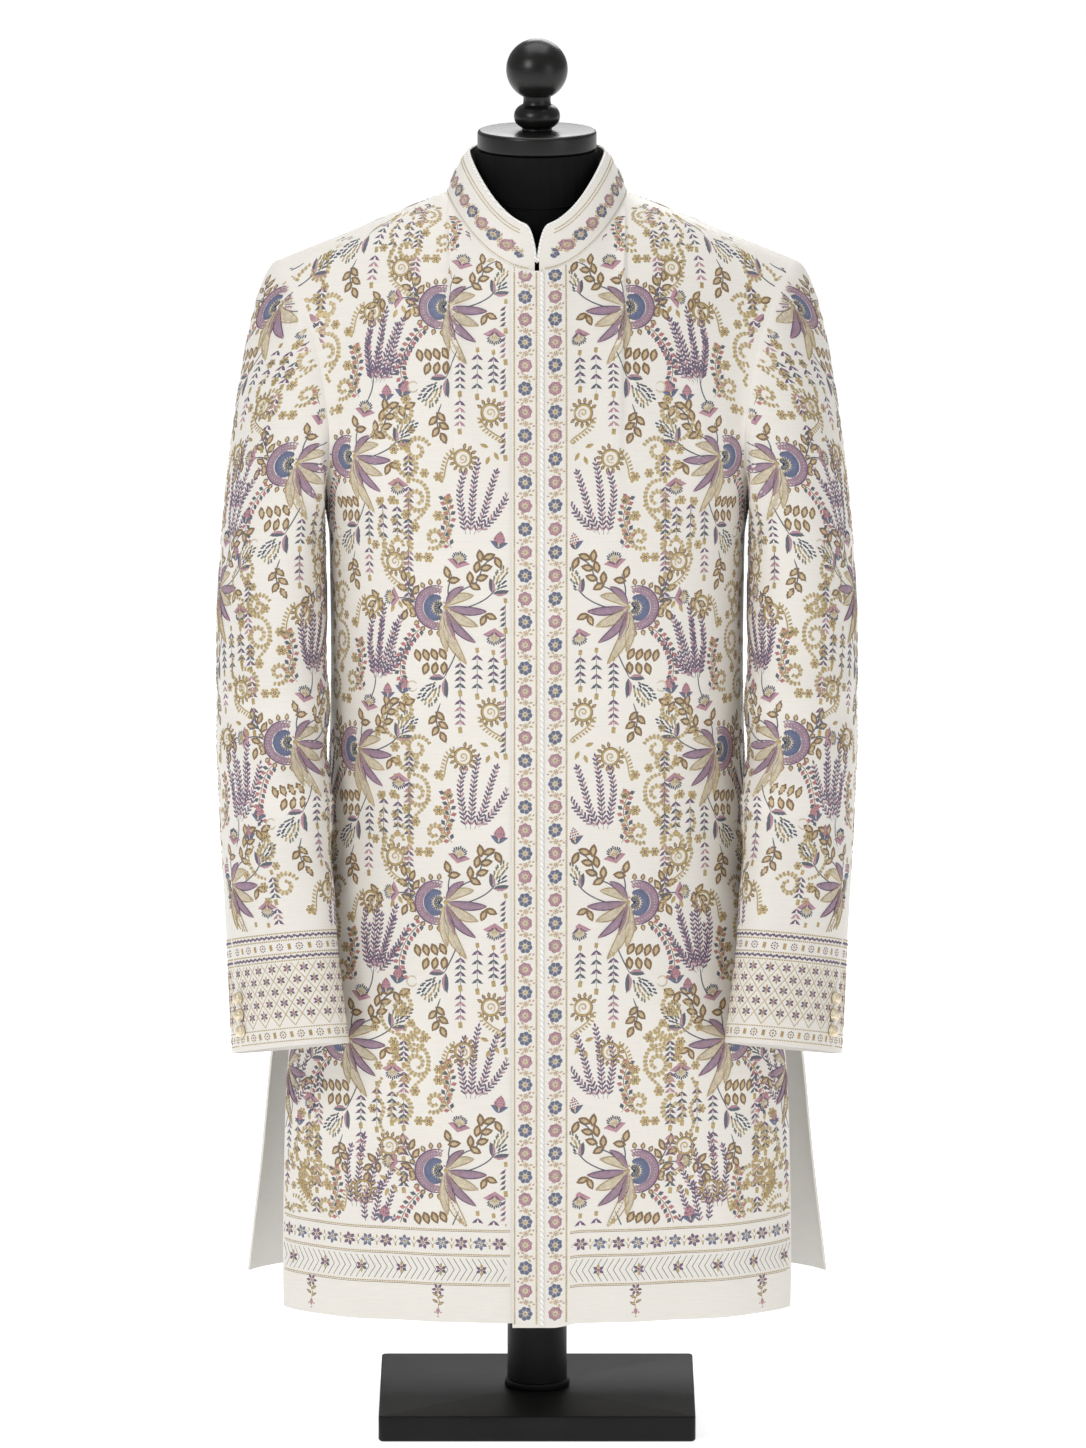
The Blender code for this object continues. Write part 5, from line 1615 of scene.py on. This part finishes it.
FRONT_CREASES = (
    (0.150, 0.735, 62, 0.070, 0.0070, 0.0012),
    (0.138, 0.700, 50, 0.085, 0.0080, 0.0011),
    (0.150, 0.650, 35, 0.060, 0.0080, 0.0009),
    (0.165, 0.430, 10, 0.080, 0.0110, 0.0011),
    (0.150, 0.395, -8, 0.090, 0.0120, 0.0009),
    (0.180, 0.350, -20, 0.080, 0.0120, 0.0010),
    (0.120, 0.150, 84, 0.200, 0.0160, 0.0014),
    (0.215, 0.170, 88, 0.220, 0.0170, 0.0016),
)
BACK_CREASES = (
    (0.150, 0.740, 118, 0.080, 0.0080, 0.0013),
    (-0.150, 0.740, 62, 0.080, 0.0080, 0.0013),
    (0.110, 0.430, 12, 0.110, 0.0120, 0.0011),
    (-0.105, 0.425, -10, 0.110, 0.0120, 0.0011),
    (0.080, 0.390, -8, 0.120, 0.0130, 0.0009),
    (-0.085, 0.395, 9, 0.120, 0.0130, 0.0009),
    (0.120, 0.150, 92, 0.220, 0.0180, 0.0016),
    (-0.125, 0.150, 88, 0.220, 0.0180, 0.0016),
)
SLEEVE_CREASES = (
    (-0.030, 0.248, 14, 0.100, 0.0085, 0.0019),
    (-0.040, 0.225, -10, 0.110, 0.0090, 0.0021),
    (-0.020, 0.204, 8, 0.100, 0.0085, 0.0018),
    (-0.030, 0.178, -16, 0.090, 0.0085, 0.0014),
    (0.060, 0.300, 20, 0.100, 0.0110, 0.0011),
    (0.075, 0.160, -12, 0.090, 0.0110, 0.0010),
    (-0.010, 0.430, 64, 0.090, 0.0090, 0.0012),
    (-0.045, 0.470, 55, 0.080, 0.0085, 0.0012),
    (0.020, 0.340, 40, 0.110, 0.0100, 0.0010),
)


CHEST_ROW = LOWER_ROWS * ROW_TIMES
FRONT_ZERO = NEAR_STEPS // 2 * COLUMN_TIMES
UNDERLAP_COLUMNS_LEFT_OUT = 3


def make_cloths():
    """The fine surfaces of the patterns: left front, right front, back and sleeve, all at +X."""
    plain = Cloth(front_grid(), FRONT_ZERO, 0.0)
    grid = crease(plain, FRONT_CREASES)
    skip = UNDERLAP_COLUMNS_LEFT_OUT
    right = Cloth(grid[:, skip:], FRONT_ZERO - skip, 0.0, rising=CHEST_ROW)
    ways = fine_ways()[:, None]
    near = 1 - smooth(LAP_FLAT, LAP_FLAT + LAP_RAMP, plain.across)
    lapped = grid + plain.normals * (LAP_LIFT * near)[..., None]
    lapped[..., 2] -= OVERLAP_DROP * near * (1 - smooth(0.0, 0.15, ways))
    left = Cloth(lapped, FRONT_ZERO, 0.0, rising=CHEST_ROW)
    middle = (NECK_STEPS + SIDE_STEPS) * COLUMN_TIMES
    plain = Cloth(back_grid(), middle, 0.0)
    back = Cloth(crease(plain, BACK_CREASES), middle, 0.0, rising=CHEST_ROW)
    zero = int(round((BACK_SLEEVE_SEAM - 0.25) * SLEEVE_COLUMNS_ROUND)) * 2
    plain = Body(sleeve_surface(), zero, 0.0, None)
    sleeve = Body(crease(plain, SLEEVE_CREASES), zero, 0.0, ARM_ROWS * 2)
    return left, right, back, sleeve


# Where the repeats go, as rows of distance from the middle and height above the floor
FRONT_REPEATS = (
    (0.084, 0.959), (0.084, 0.711), (0.084, 0.463), (0.084, 0.236),
    (0.166, 0.832), (0.166, 0.584), (0.170, 0.342), (0.182, 0.140),
    (0.166, 1.075), (0.250, 0.460), (0.250, 0.232), (0.248, 0.962),
)
BACK_REPEATS = (
    (0.060, 0.959), (0.060, 0.711), (0.060, 0.463), (0.060, 0.236),
    (0.142, 0.832), (0.142, 0.584), (0.144, 0.342), (0.150, 0.140),
    (0.142, 1.075), (0.226, 0.460), (0.228, 0.232), (0.226, 0.962),
)
SLEEVE_REPEATS = (
    (0.010, 0.8250), (0.010, 0.5950), (0.095, 0.9500), (0.095, 0.7100), (0.095, 0.4700),
    (-0.075, 0.7000), (-0.075, 0.4700), (-0.158, 0.8250), (-0.158, 0.5950), (-0.236, 0.7100),
    (-0.236, 0.9300), (-0.236, 0.4700),
)


# Flat thread work for each piece of cloth

BAND_FLOWER_GAP = 19.5
BAND_LINES = (-18.8, -0.4, 24.6)
BAND_FLOWERS = (-9.8, 15.2)
BORDER_TOP = 79.0
BORDER_MIDDLE = 58.0
BORDER_LOW = 33.0
SPRIG_PLACES = (83.0, 196.0)
CUFF_TOP = 95.0


def dotted_run(work, thread, path, gap=2.1, length=1.7, width=1.1, height=0.5):
    px, py, angles = spaced(path, gap, gap / 2)
    stitches(work, thread, px, py, length, width, angles, height)


def level_path(x0, x1, y, step=6.0):
    xs = np.linspace(x0, x1, max(3, int(abs(x1 - x0) / step)))
    return np.stack([xs, np.full(len(xs), y)], axis=1)


def upright_path(x, y0, y1, step=6.0):
    ys = np.linspace(y0, y1, max(3, int(abs(y1 - y0) / step)))
    return np.stack([np.full(len(ys), x), ys], axis=1)


def front_band(top):
    """The two columns of flowers between three gold lines, from the hem to the neckline."""
    work = Work()
    flowers = (band_flower("blue", "slate", "cream"), band_flower("pink", "purple", "cream"))
    bud = band_bud()
    for x in BAND_LINES:
        cord(work, "cream", upright_path(x, 3.0, top + 10), 1.9, 0.14, 1.0)
        dotted_run(work, "gold", upright_path(x, 3.0, top + 10), 2.3, 1.5, 1.5, 0.6)
    for column, x in enumerate(BAND_FLOWERS):
        count = int(top / BAND_FLOWER_GAP) + 2
        for k in range(count):
            y = 12.0 + k * BAND_FLOWER_GAP
            turn = 0.35 * ((k * 7 + column * 3) % 5)
            work.stamp(flowers[(k + column) % 2], x, y, turn, 1.0)
            way = 0.35 if k % 2 else -0.35
            work.stamp(bud, x + 0.6, y + BAND_FLOWER_GAP / 2, way, 1.0)
    return work


def border(x0, x1):
    """The border above the hem, with its hanging sprigs."""
    work = Work()
    for y, thread in ((BORDER_TOP, "gold"), (BORDER_MIDDLE, "gold"), (BORDER_LOW, "gold")):
        dotted_run(work, thread, level_path(x0, x1, y), 2.1, 1.8, 1.4, 0.55)
        cord(work, "brown", level_path(x0, x1, y - 1.3), 0.5, 0.22, 1.0)
    for number, x in enumerate(np.arange(x0 + 9, x1 - 4, 16.0)):
        petals = (("purple", "pink"), ("blue", "cream"))[number % 2]
        middle = (BORDER_TOP + BORDER_MIDDLE) / 2 - 1
        flower(work, x, middle, 6, 5.6, 3.0, petals[0], petals[1], "gold", 0.3 * number)
        path = arc(x, middle - 4.5, 8.0, 20, 160, 9)
        dotted_run(work, "gold", path, 2.0, 1.5, 0.9, 0.45)
        stitches(work, "gold", (x + 8, x + 8), (middle - 3, middle + 3), 3.4, 1.6, math.pi / 2, 0.5)
    low, high = BORDER_LOW + 2.5, BORDER_MIDDLE - 3.5
    tall = high - low
    for number, x in enumerate(np.arange(x0, x1, 5.2)):
        lean = tall * 0.62
        for sign in (-1, 1):
            half = tall / 2
            middle = low + half
            end_x, end_y = x + lean / 2, middle + sign * half
            path = np.array([(x, middle), ((x + end_x) / 2, (middle + end_y) / 2), (end_x, end_y)])
            cord(work, "slate" if number % 2 else "sage", path, 0.55, 0.25, 1.0)
    for x in np.arange(x0 + 24, x1 - 8, 34.0):
        work.stamp(lattice_cell(), x, (low + high) / 2, 0.0, 1.05)
    sprig = hem_sprig()
    for x in SPRIG_PLACES:
        if x0 < 0:
            work.stamp(sprig, -x, 16.5, 0.0, 0.98)
        work.stamp(sprig, x, 16.5, 0.0, 0.98)
    return work


# The cuff's diamond lattice: a cell's width and height, and its lower and upper edge
CUFF_CELL = (14.5, 19.0)
CUFF_LATTICE = (17.0, 69.5)


def cuff(x0, x1):
    """Bands and a diamond lattice round the cuff."""
    work = Work()
    for y, thread, width in (
        (4.5, "gold", 1.2), (15.0, "gold", 1.2), (71.0, "gold", 1.5), (77.0, "gold", 1.5),
        (88.0, "gold", 1.5), (94.0, "gold", 1.5),
    ):
        dotted_run(work, thread, level_path(x0, x1, y), 2.1, 1.8, width, 0.5)
    for y in (74.0, 91.0):
        xs = np.arange(x0, x1, 2.6)
        sign = np.where(np.arange(len(xs)) % 2, 1.0, -1.0)
        stitches(work, "purple", xs, np.full(len(xs), y), 4.4, 1.4, sign * 0.9, 0.55)
        stitches(work, "slate", xs + 1.3, np.full(len(xs), y), 2.2, 1.1, -sign * 0.9, 0.55)
    for y, gap, thread in ((9.8, 8.0, "brown"), (82.5, 8.6, "purple")):
        for number, x in enumerate(np.arange(x0, x1, gap)):
            turns = np.arange(8) * math.pi / 4
            if number % 2:
                beads(work, thread, x + 2.6 * np.cos(turns), y + 2.6 * np.sin(turns), 0.85, 0.5, 5)
                beads(work, "gold", x, y, 1.1, 0.6, 6)
            else:
                stitches(work, "gold", x, y, 6.4, 3.6, math.pi / 2, 0.45)
                stitches(work, "coral", x, y, 2.8, 1.6, math.pi / 2, 0.75)
    cell_w, cell_h = CUFF_CELL
    cell = lattice_cell()
    low, high = CUFF_LATTICE
    for start in np.arange(x0 - 60, x1 + 60, cell_w):
        for sign in (-1, 1):
            t = np.linspace(0, 1, 14)
            ys = low + (high - low) * t
            xs = start + sign * (ys - low) * cell_w / cell_h
            keep = (xs > x0) & (xs < x1)
            if keep.sum() > 3:
                cord(work, "tan", np.stack([xs[keep], ys[keep]], axis=1), 0.9, 0.35, 1.0)
    count = int(round((high - low) / (cell_h / 2)))
    for row in range(1, count):
        y = low + row * cell_h / 2
        start = x0 - 60 + (cell_w / 2 if row % 2 == 0 else 0.0)
        for x in np.arange(start, x1, cell_w):
            if x > x0 + 4:
                work.stamp(cell, x, y, 0.0, 0.86)
    return work


def repeats(cloth, places, both_ways=False):
    work = Work()
    for across, height in places:
        along = height_along(cloth, min(across, cloth.low + cloth.wide - 0.01), min(height, 0.96))
        along += max(height - 0.96, 0.0)
        work.stamp(repeat(), across * 1000, along * 1000)
        if both_ways:
            work.stamp(repeat(), -across * 1000, along * 1000, flip=-1.0)
    return work


# Collar


def neckline_angle(side, angle):
    turn = math.asin(min(1.0, abs(math.sin(angle)))) / (math.pi / 2)
    return neckline_point(side, neck_part(turn))


def collar_base(angle):
    """The neckline at this angle round the neck, from the middle front."""
    point = neckline_angle(FRONT if math.cos(angle) >= 0 else BACK, angle)
    return point if math.sin(angle) >= 0 else point * np.array((-1.0, 1.0, 1.0))


def collar_top(angle):
    depth = COLLAR_TOP_FRONT_DEPTH if math.cos(angle) >= 0 else COLLAR_TOP_BACK_DEPTH
    height = collar_base(angle)[2] + COLLAR_RISE
    across = COLLAR_TOP_HALF_WIDTH * math.sin(angle)
    return np.array((across, SIDE_SEAM_Y - depth * math.cos(angle), height))


LOOK_END_GAP = 0.0030
LOOK_FIRST_TURN = LOOK_END_GAP / 2 / COLLAR_TOP_HALF_WIDTH


def collar_height(angle):
    distance = (min(angle, 2 * math.pi - angle) - LOOK_FIRST_TURN) * NECK_HALF_WIDTH
    inset = min(max(distance / COLLAR_CORNER, 0.02), 1.0)
    return math.sqrt(1 - (1 - inset) ** 2)


def collar_surface(angle, climb):
    base, top = collar_base(angle), collar_top(angle)
    way = unit(top - base)
    bulge = 0.0015 * math.sin(climb * math.pi)
    outward = unit(np.array((math.sin(angle), -math.cos(angle), 0.3)))
    return base + way * SEAM_GAP / 2 + (top - base) * climb + outward * bulge


def collar_turns():
    ends = COLLAR_CORNER * (1 - np.cos(np.linspace(0, math.pi / 2, 14)))
    first = LOOK_FIRST_TURN + ends / NECK_HALF_WIDTH
    rest = np.linspace(first[-1], math.pi, 60)[1:]
    half = np.concatenate([first, rest])
    return np.concatenate([half, (2 * math.pi - half[:-1])[::-1]])


def collar_cloth():
    turns = collar_turns()
    grid = np.array(
        [[collar_surface(a, rise * collar_height(a)) for a in turns] for rise in np.linspace(0, 1, 13)]
    )
    return Cloth(grid, len(turns) // 2, 0.0)


def collar_work(cloth):
    """Two braid lines along the edge, and flowers with buds between them."""
    work = Work()
    half = cloth.wide / 2 * 1000
    tall = float(cloth.along[-1, cloth.along.shape[1] // 2]) * 1000
    for inset in (2.6, 5.4):
        radius = max(COLLAR_CORNER * 1000 - inset, 4.0)
        side = half - inset
        corner = np.radians(np.linspace(0, 90, 8))
        path = [(side, 1.0), (side, tall - inset - radius)]
        bend_x, bend_y = side - radius, tall - inset - radius
        path += [(bend_x + radius * math.cos(t), bend_y + radius * math.sin(t)) for t in corner[1:]]
        ahead = np.array(path)
        middle = level_path(side - radius - 3, -side + radius + 3, tall - inset, 5.0)
        back_again = ahead[::-1] * (-1, 1)
        dotted_run(work, "gold", np.concatenate([ahead, middle, back_again]), 2.0, 1.7, 1.3, 0.5)
    dotted_run(work, "gold", level_path(-half, half, 1.6), 2.0, 1.7, 1.2, 0.45)
    flowers = (band_flower("blue", "slate", "cream"), band_flower("pink", "purple", "cream"))
    gap = 15.5
    count = int((half - 12) / gap)
    places = np.arange(-count, count + 1) * gap
    for k, x in enumerate(places):
        work.stamp(flowers[k % 2], x, 14.5, 0.4 * k, 1.05)
        if k < len(places) - 1:
            work.stamp(band_bud(), x + gap / 2, 14.5, 0.5 if k % 2 else -0.5, 1.25)
    return work


def make_collar(looks, thread_looks):
    cloth = collar_cloth()
    piece = shell("cloth_collar", cloth, COLLAR_WALL, looks)
    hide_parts("collar")
    sewn = sew("embroidery_collar", cloth, collar_work(cloth), thread_looks, margin=0.0004)
    turns = collar_turns()
    middles = cloth.grid[-1] - cloth.normals[-1] * COLLAR_WALL / 2
    ways = unit(np.gradient(middles, axis=0))
    away = unit(np.cross(cloth.normals[-1], ways))
    away *= np.sign(away[len(turns) // 2, 2])
    centres = middles + away * COLLAR_PIPING_RADIUS * 0.7
    rim = tube("cord_collar", centres, COLLAR_PIPING_RADIUS * 1.15, LOOKS["piping"], 10, 1.0, away)
    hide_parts("collar_piping")
    return piece


# Trimmings


def make_front_cord(left):
    top = float(left.along[-1, FRONT_ZERO + 2])
    t = np.linspace(0.001, top - 0.001, 220)
    flat = np.stack([np.full(len(t), FRONT_PIPING_X), t, np.full(len(t), 0.0007)], axis=1)
    centres, _ = left.place(flat)
    out, _ = left.place(flat + (0, 0, 0.001))
    piece = tube("cord_front", centres, 0.0016, LOOKS["piping"], 10, 0.75, unit(out - centres))
    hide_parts("front_piping")


BUTTON_DIAMETER = 0.0106
BUTTON_DOME = 0.0060
BUTTON_HEIGHTS = (0.3540, 0.3674, 0.3808)
BUTTON_SHARE = 0.955
BUTTON_PROFILE = (
    (0.58, 0.00), (0.86, 0.04), (0.99, 0.14), (1.00, 0.26), (0.93, 0.34), (0.90, 0.38),
    (0.92, 0.44), (0.86, 0.62), (0.74, 0.78), (0.56, 0.90), (0.34, 0.97), (0.12, 1.00),
)


def make_buttons():
    for number, height in enumerate(BUTTON_HEIGHTS, start=1):
        way = 1 + (ARM_TOP - height) / (ARM_TOP - CUFF_HEIGHT)
        base = sleeve_point(BUTTON_SHARE, way)
        step = 0.004
        across = sleeve_point(BUTTON_SHARE + step, way) - sleeve_point(BUTTON_SHARE - step, way)
        along = sleeve_point(BUTTON_SHARE, way + step) - sleeve_point(BUTTON_SHARE, way - step)
        normal = unit(np.cross(across, along))
        u = unit(np.cross(normal, np.array((0.0, 0.0, 1.0))))
        v = np.cross(normal, u)
        radius = BUTTON_DIAMETER / 2
        rings = []
        for share, rise in BUTTON_PROFILE:
            centre = base + normal * (SEAM_GAP * 1.6 + BUTTON_DOME * rise)
            rings.append(
                [
                    centre + (u * math.cos(t) + v * math.sin(t)) * radius * share
                    for t in np.linspace(0, 2 * math.pi, 28, endpoint=False)
                ]
            )
        rings = np.array(rings)
        for side, points in (("left", rings), ("right", rings * (-1.0, 1.0, 1.0))):
            piece = loft(f"button_{side}_{number}", points, LOOKS["button"])
            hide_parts(f"cuff_button_{side}_{number}")


# Dress form and stand

PLATE_WIDTH = 0.266
PLATE_DEPTH = 0.220
PLATE_THICKNESS = 0.022
POLE_RADIUS = 0.0252
POLE_RING_RADIUS = 0.0275
POLE_RING_HEIGHT = 0.0060
TORSO_BOTTOM = 0.470
NECK_RADIUS = 0.0512
NECK_TOP = 1.0780
CAP_RADIUS = 0.0495
CAP_HEIGHT = 0.0165
CAP_EDGE = 0.0030
BEAD_RADIUS = 0.0192
BEAD_HEIGHT = 0.0222
WAIST_RADIUS = 0.0116
WAIST_HEIGHT = 0.0065
BALL_RADIUS = 0.0256


def make_torso_seam():
    """The jersey's faint seam round the neck, lower in front."""
    turns = np.linspace(0, 2 * math.pi, 80)
    radius = NECK_RADIUS + 0.0003
    points = [
        (radius * math.sin(t), -radius * math.cos(t), 1.046 - 0.010 * math.cos(t)) for t in turns
    ]
    seam = tube("jersey_seam", points, 0.0006, LOOKS["jersey"], 6)


def make_cap_and_finial():
    low = NECK_TOP + SEAM_GAP
    high = low + CAP_HEIGHT
    profile = [(CAP_RADIUS - CAP_EDGE, low)]
    profile += [
        (CAP_RADIUS - CAP_EDGE * (1 - math.sin(t)), low + CAP_EDGE * (1 - math.cos(t)))
        for t in np.radians(np.linspace(15, 90, 7))
    ]
    profile += [
        (CAP_RADIUS - CAP_EDGE * (1 - math.cos(t)), high - CAP_EDGE * (1 - math.sin(t)))
        for t in np.radians(np.linspace(0, 90, 8))
    ]
    profile.append((CAP_RADIUS * 0.5, high))
    cap = turned("neck_cap", profile, LOOKS["lacquer"])
    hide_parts("form_neck_cap")

    base = high + SEAM_GAP
    bead_middle = base + BEAD_HEIGHT / 2
    profile = [(BEAD_RADIUS * 0.55, base), (BEAD_RADIUS * 0.66, base)]
    for t in np.radians(np.linspace(-62, 62, 17)):
        profile.append((BEAD_RADIUS * math.cos(t) ** 0.62, bead_middle + BEAD_HEIGHT / 2 * math.sin(t)))
    waist_low = base + BEAD_HEIGHT
    profile.append((WAIST_RADIUS, waist_low - 0.0004))
    profile.append((WAIST_RADIUS * 0.97, waist_low + WAIST_HEIGHT * 0.5))
    profile.append((WAIST_RADIUS, waist_low + WAIST_HEIGHT))
    ball_low = math.asin(-math.sqrt(1 - (WAIST_RADIUS * 1.12 / BALL_RADIUS) ** 2))
    ball_middle = waist_low + WAIST_HEIGHT - BALL_RADIUS * math.sin(ball_low) - 0.0005
    for t in np.linspace(ball_low, math.radians(88), 30):
        profile.append((BALL_RADIUS * math.cos(t), ball_middle + BALL_RADIUS * math.sin(t)))
    finial = turned("finial", profile, LOOKS["lacquer"], sharp=60)
    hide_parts("form_finial")


def make_pole():
    low = PLATE_THICKNESS + SEAM_GAP
    ring = [(POLE_RING_RADIUS - 0.0008, low), (POLE_RING_RADIUS, low + 0.0008)]
    ring += [
        (POLE_RING_RADIUS - 0.0014 * (1 - math.cos(t)), low + POLE_RING_HEIGHT - 0.0014 * (1 - math.sin(t)))
        for t in np.radians(np.linspace(0, 90, 6))
    ]
    piece = turned("pole_ring", ring, LOOKS["steel"], sharp=50)
    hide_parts("form_pole_ring")
    pole_low = low + POLE_RING_HEIGHT + SEAM_GAP
    pole = [(POLE_RADIUS, z) for z in np.linspace(pole_low, TORSO_BOTTOM - SEAM_GAP, 9)]
    piece = turned("pole", pole, LOOKS["steel"], sharp=50)
    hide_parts("form_pole")


def make_plate():
    """The base plate with its rounded edge and corners."""
    bevel, corner = 0.0016, 0.0045
    rows = [(bevel, 0.0), (0.0, bevel)]
    rows += [
        (bevel * (1 - math.cos(t)), PLATE_THICKNESS - bevel * (1 - math.sin(t)))
        for t in np.radians(np.linspace(0, 90, 6))
    ]
    rings = []
    for inset, height in rows:
        points = []
        for sign_x, sign_y, first in ((1, 1, 0), (-1, 1, 90), (-1, -1, 180), (1, -1, 270)):
            for degrees in np.linspace(0, 90, 9):
                turn = math.radians(first + degrees)
                radius = corner - inset
                points.append(
                    (
                        sign_x * (PLATE_WIDTH / 2 - corner) + radius * math.cos(turn),
                        sign_y * (PLATE_DEPTH / 2 - corner) + radius * math.sin(turn),
                        height,
                    )
                )
        rings.append(points)
    piece = loft("base_plate", rings, LOOKS["steel"], 50)
    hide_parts("form_base_plate")


# Stage


FLOOR_REACH = 16.0
WORLD_LIGHT, WORLD_SEEN = 0.34, 1.0


def make_floor():
    points = [(x * FLOOR_REACH, y * FLOOR_REACH, 0.0) for x, y in ((-1, -1), (1, -1), (1, 1), (-1, 1))]
    mesh = bpy.data.meshes.new("floor")
    mesh.from_pydata(points, [], [(0, 1, 2, 3)])
    mesh.materials.append(floor_look())
    made = bpy.data.objects.new("floor", mesh)
    bpy.context.scene.collection.objects.link(made)


def add_light(name, place, aim, size, power, colour=(1.0, 1.0, 1.0)):
    light = bpy.data.lights.new(name, "AREA")
    light.shape = "RECTANGLE"
    light.size, light.size_y = size
    light.energy = power
    light.color = colour
    made = bpy.data.objects.new(name, light)
    made.location = place
    made.rotation_euler = (Vector(aim) - Vector(place)).to_track_quat("-Z", "Y").to_euler()
    bpy.context.scene.collection.objects.link(made)


# Columns: name, place, aim, size, watts
LIGHTS = (
    ("key", (-1.9, -2.6, 2.6), (0, 0, 0.65), (1.2, 1.2), 44.0),
    ("fill", (2.4, -2.4, 1.5), (0, 0, 0.60), (1.6, 1.6), 12.0),
    ("top", (0.0, 0.3, 3.0), (0, 0, 0.6), (2.0, 1.6), 30.0),
    ("behind", (0.4, 3.0, 2.4), (0, 0, 0.65), (1.8, 1.4), 34.0),
)
LENS = 302.3
SENSOR_WIDTH = 36.0
FARTHEST_SEEN = 60.0
CAMERA_PLACE = (0.005, -10.0, 2.55)
CAMERA_AIM = (0.005, 0.0, 0.592)


def make_light_and_camera():
    scene = bpy.context.scene
    scene.view_settings.view_transform = "Standard"
    world = bpy.data.worlds.new("studio")
    world.use_nodes = True
    background = world.node_tree.nodes["Background"]
    background.inputs["Color"].default_value = (1.0, 1.0, 1.0, 1.0)
    nodes, links = world.node_tree.nodes, world.node_tree.links
    path = nodes.new("ShaderNodeLightPath")
    strength = nodes.new("ShaderNodeMapRange")
    strength.inputs["To Min"].default_value = WORLD_LIGHT
    strength.inputs["To Max"].default_value = WORLD_SEEN
    links.new(path.outputs["Is Camera Ray"], strength.inputs["Value"])
    links.new(strength.outputs["Result"], background.inputs["Strength"])
    scene.world = world
    for light in LIGHTS:
        add_light(*light)
    camera = bpy.data.cameras.new("camera")
    camera.lens = LENS
    camera.sensor_width = SENSOR_WIDTH
    camera.clip_end = FARTHEST_SEEN
    made = bpy.data.objects.new("camera", camera)
    made.location = CAMERA_PLACE
    aim = Vector(CAMERA_AIM)
    made.rotation_euler = (aim - made.location).to_track_quat("-Z", "Y").to_euler()
    scene.collection.objects.link(made)
    scene.camera = made


LOOKS = {}
# Each side of the coat, and whether it is the mirror image of the one at +X
SIDES = (("left", False), ("right", True))

# Where the fronts' work starts, from the middle: borders in millimetres, their cut in metres
LEFT_BORDER_START, RIGHT_BORDER_START = 27.5, 22.5
LEFT_WORK_START, RIGHT_WORK_START = 0.0268, 0.0225
BORDER_CLEARANCE = 2.5
CUFF_CLEARANCE = 2


def make_looks():
    LOOKS.update(
        {
            "satin": satin_look("satin_ivory", IVORY, 0.50, 0.10),
            # The lining's colour carries painted light: it is paler than the outer satin to make up for the
            # shade inside the coat
            "lining": satin_look("lining_ivory_with_painted_light", LINING_WITH_PAINTED_LIGHT, 0.62, 0.05),
            "piping": piping_look(),
            "button": button_look(),
            "jersey": jersey_look(),
            "lacquer": lacquer_look(),
            "steel": coated_steel_look(),
        }
    )


def make_panels(left, right, back, sleeve, cloth_looks):
    """The coat's cloth: both fronts, the back and both sleeves."""
    front = shell("cloth_front_left", left, WALL, cloth_looks)
    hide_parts("front_left")
    other = shell("cloth_front_right", right, WALL, cloth_looks, mirror=True)
    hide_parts("front_right")
    rear = shell("cloth_back", back, WALL, cloth_looks)
    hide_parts("back")
    for side, mirror in SIDES:
        arm = shell(f"cloth_sleeve_{side}", sleeve, WALL, cloth_looks, mirror=mirror, closed=True)
        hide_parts(f"top_sleeve_{side}", f"under_sleeve_{side}")


def sew_panels(left, right, back, sleeve, threads):
    """The thread work on the fronts, the back and the sleeves."""
    top = float(left.along[-1, FRONT_ZERO]) * 1000
    bottom = (BORDER_TOP + BORDER_CLEARANCE) / 1000
    above_cuff = (CUFF_TOP + CUFF_CLEARANCE) / 1000
    high = (left.low + left.wide) * 1000
    half_back = back.wide * 500
    on_left, on_right = LEFT_WORK_START, RIGHT_WORK_START
    left_border = border(LEFT_BORDER_START, high)
    right_border = border(RIGHT_BORDER_START, high)
    front_work = repeats(left, FRONT_REPEATS)
    sewn = [
        sew("embroidery_front_left", left, front_work, threads, low=on_left, bottom=bottom),
        sew("embroidery_front_right", right, front_work, threads, True, low=on_right, bottom=bottom),
        sew("band_front", left, front_band(top), threads, margin=0.0002),
        sew("border_front_left", left, left_border, threads, low=on_left),
        sew("border_front_right", right, right_border, threads, True, low=on_right),
        sew("embroidery_back", back, repeats(back, BACK_REPEATS, True), threads, bottom=bottom),
        sew("border_back", back, border(-half_back, half_back), threads),
    ]
    arm_work = repeats(sleeve, SLEEVE_REPEATS)
    cuff_work = cuff(sleeve.low * 1000, (sleeve.low + sleeve.wide) * 1000)
    for side, mirror in SIDES:
        name = f"embroidery_sleeve_{side}"
        sewn.append(sew(name, sleeve, arm_work, threads, mirror, bottom=above_cuff))
        sewn.append(sew(f"cuff_work_{side}", sleeve, cuff_work, threads, mirror, margin=0.0005))


def main():
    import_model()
    make_light_and_camera()
    make_floor()
    make_looks()
    threads = [thread_look(f"thread_{name}", *THREADS[name]) for name in THREAD_ORDER]
    cloth_looks = [LOOKS["satin"], LOOKS["lining"]]
    left, right, back, sleeve = make_cloths()
    make_panels(left, right, back, sleeve, cloth_looks)
    sew_panels(left, right, back, sleeve, threads)
    make_collar(cloth_looks, threads)
    make_front_cord(left)
    make_buttons()
    make_torso_seam()
    make_cap_and_finial()
    make_pole()
    make_plate()
    torso = bpy.data.objects["form_torso"]
    for slot in torso.material_slots:
        slot.material = LOOKS["jersey"]


main()
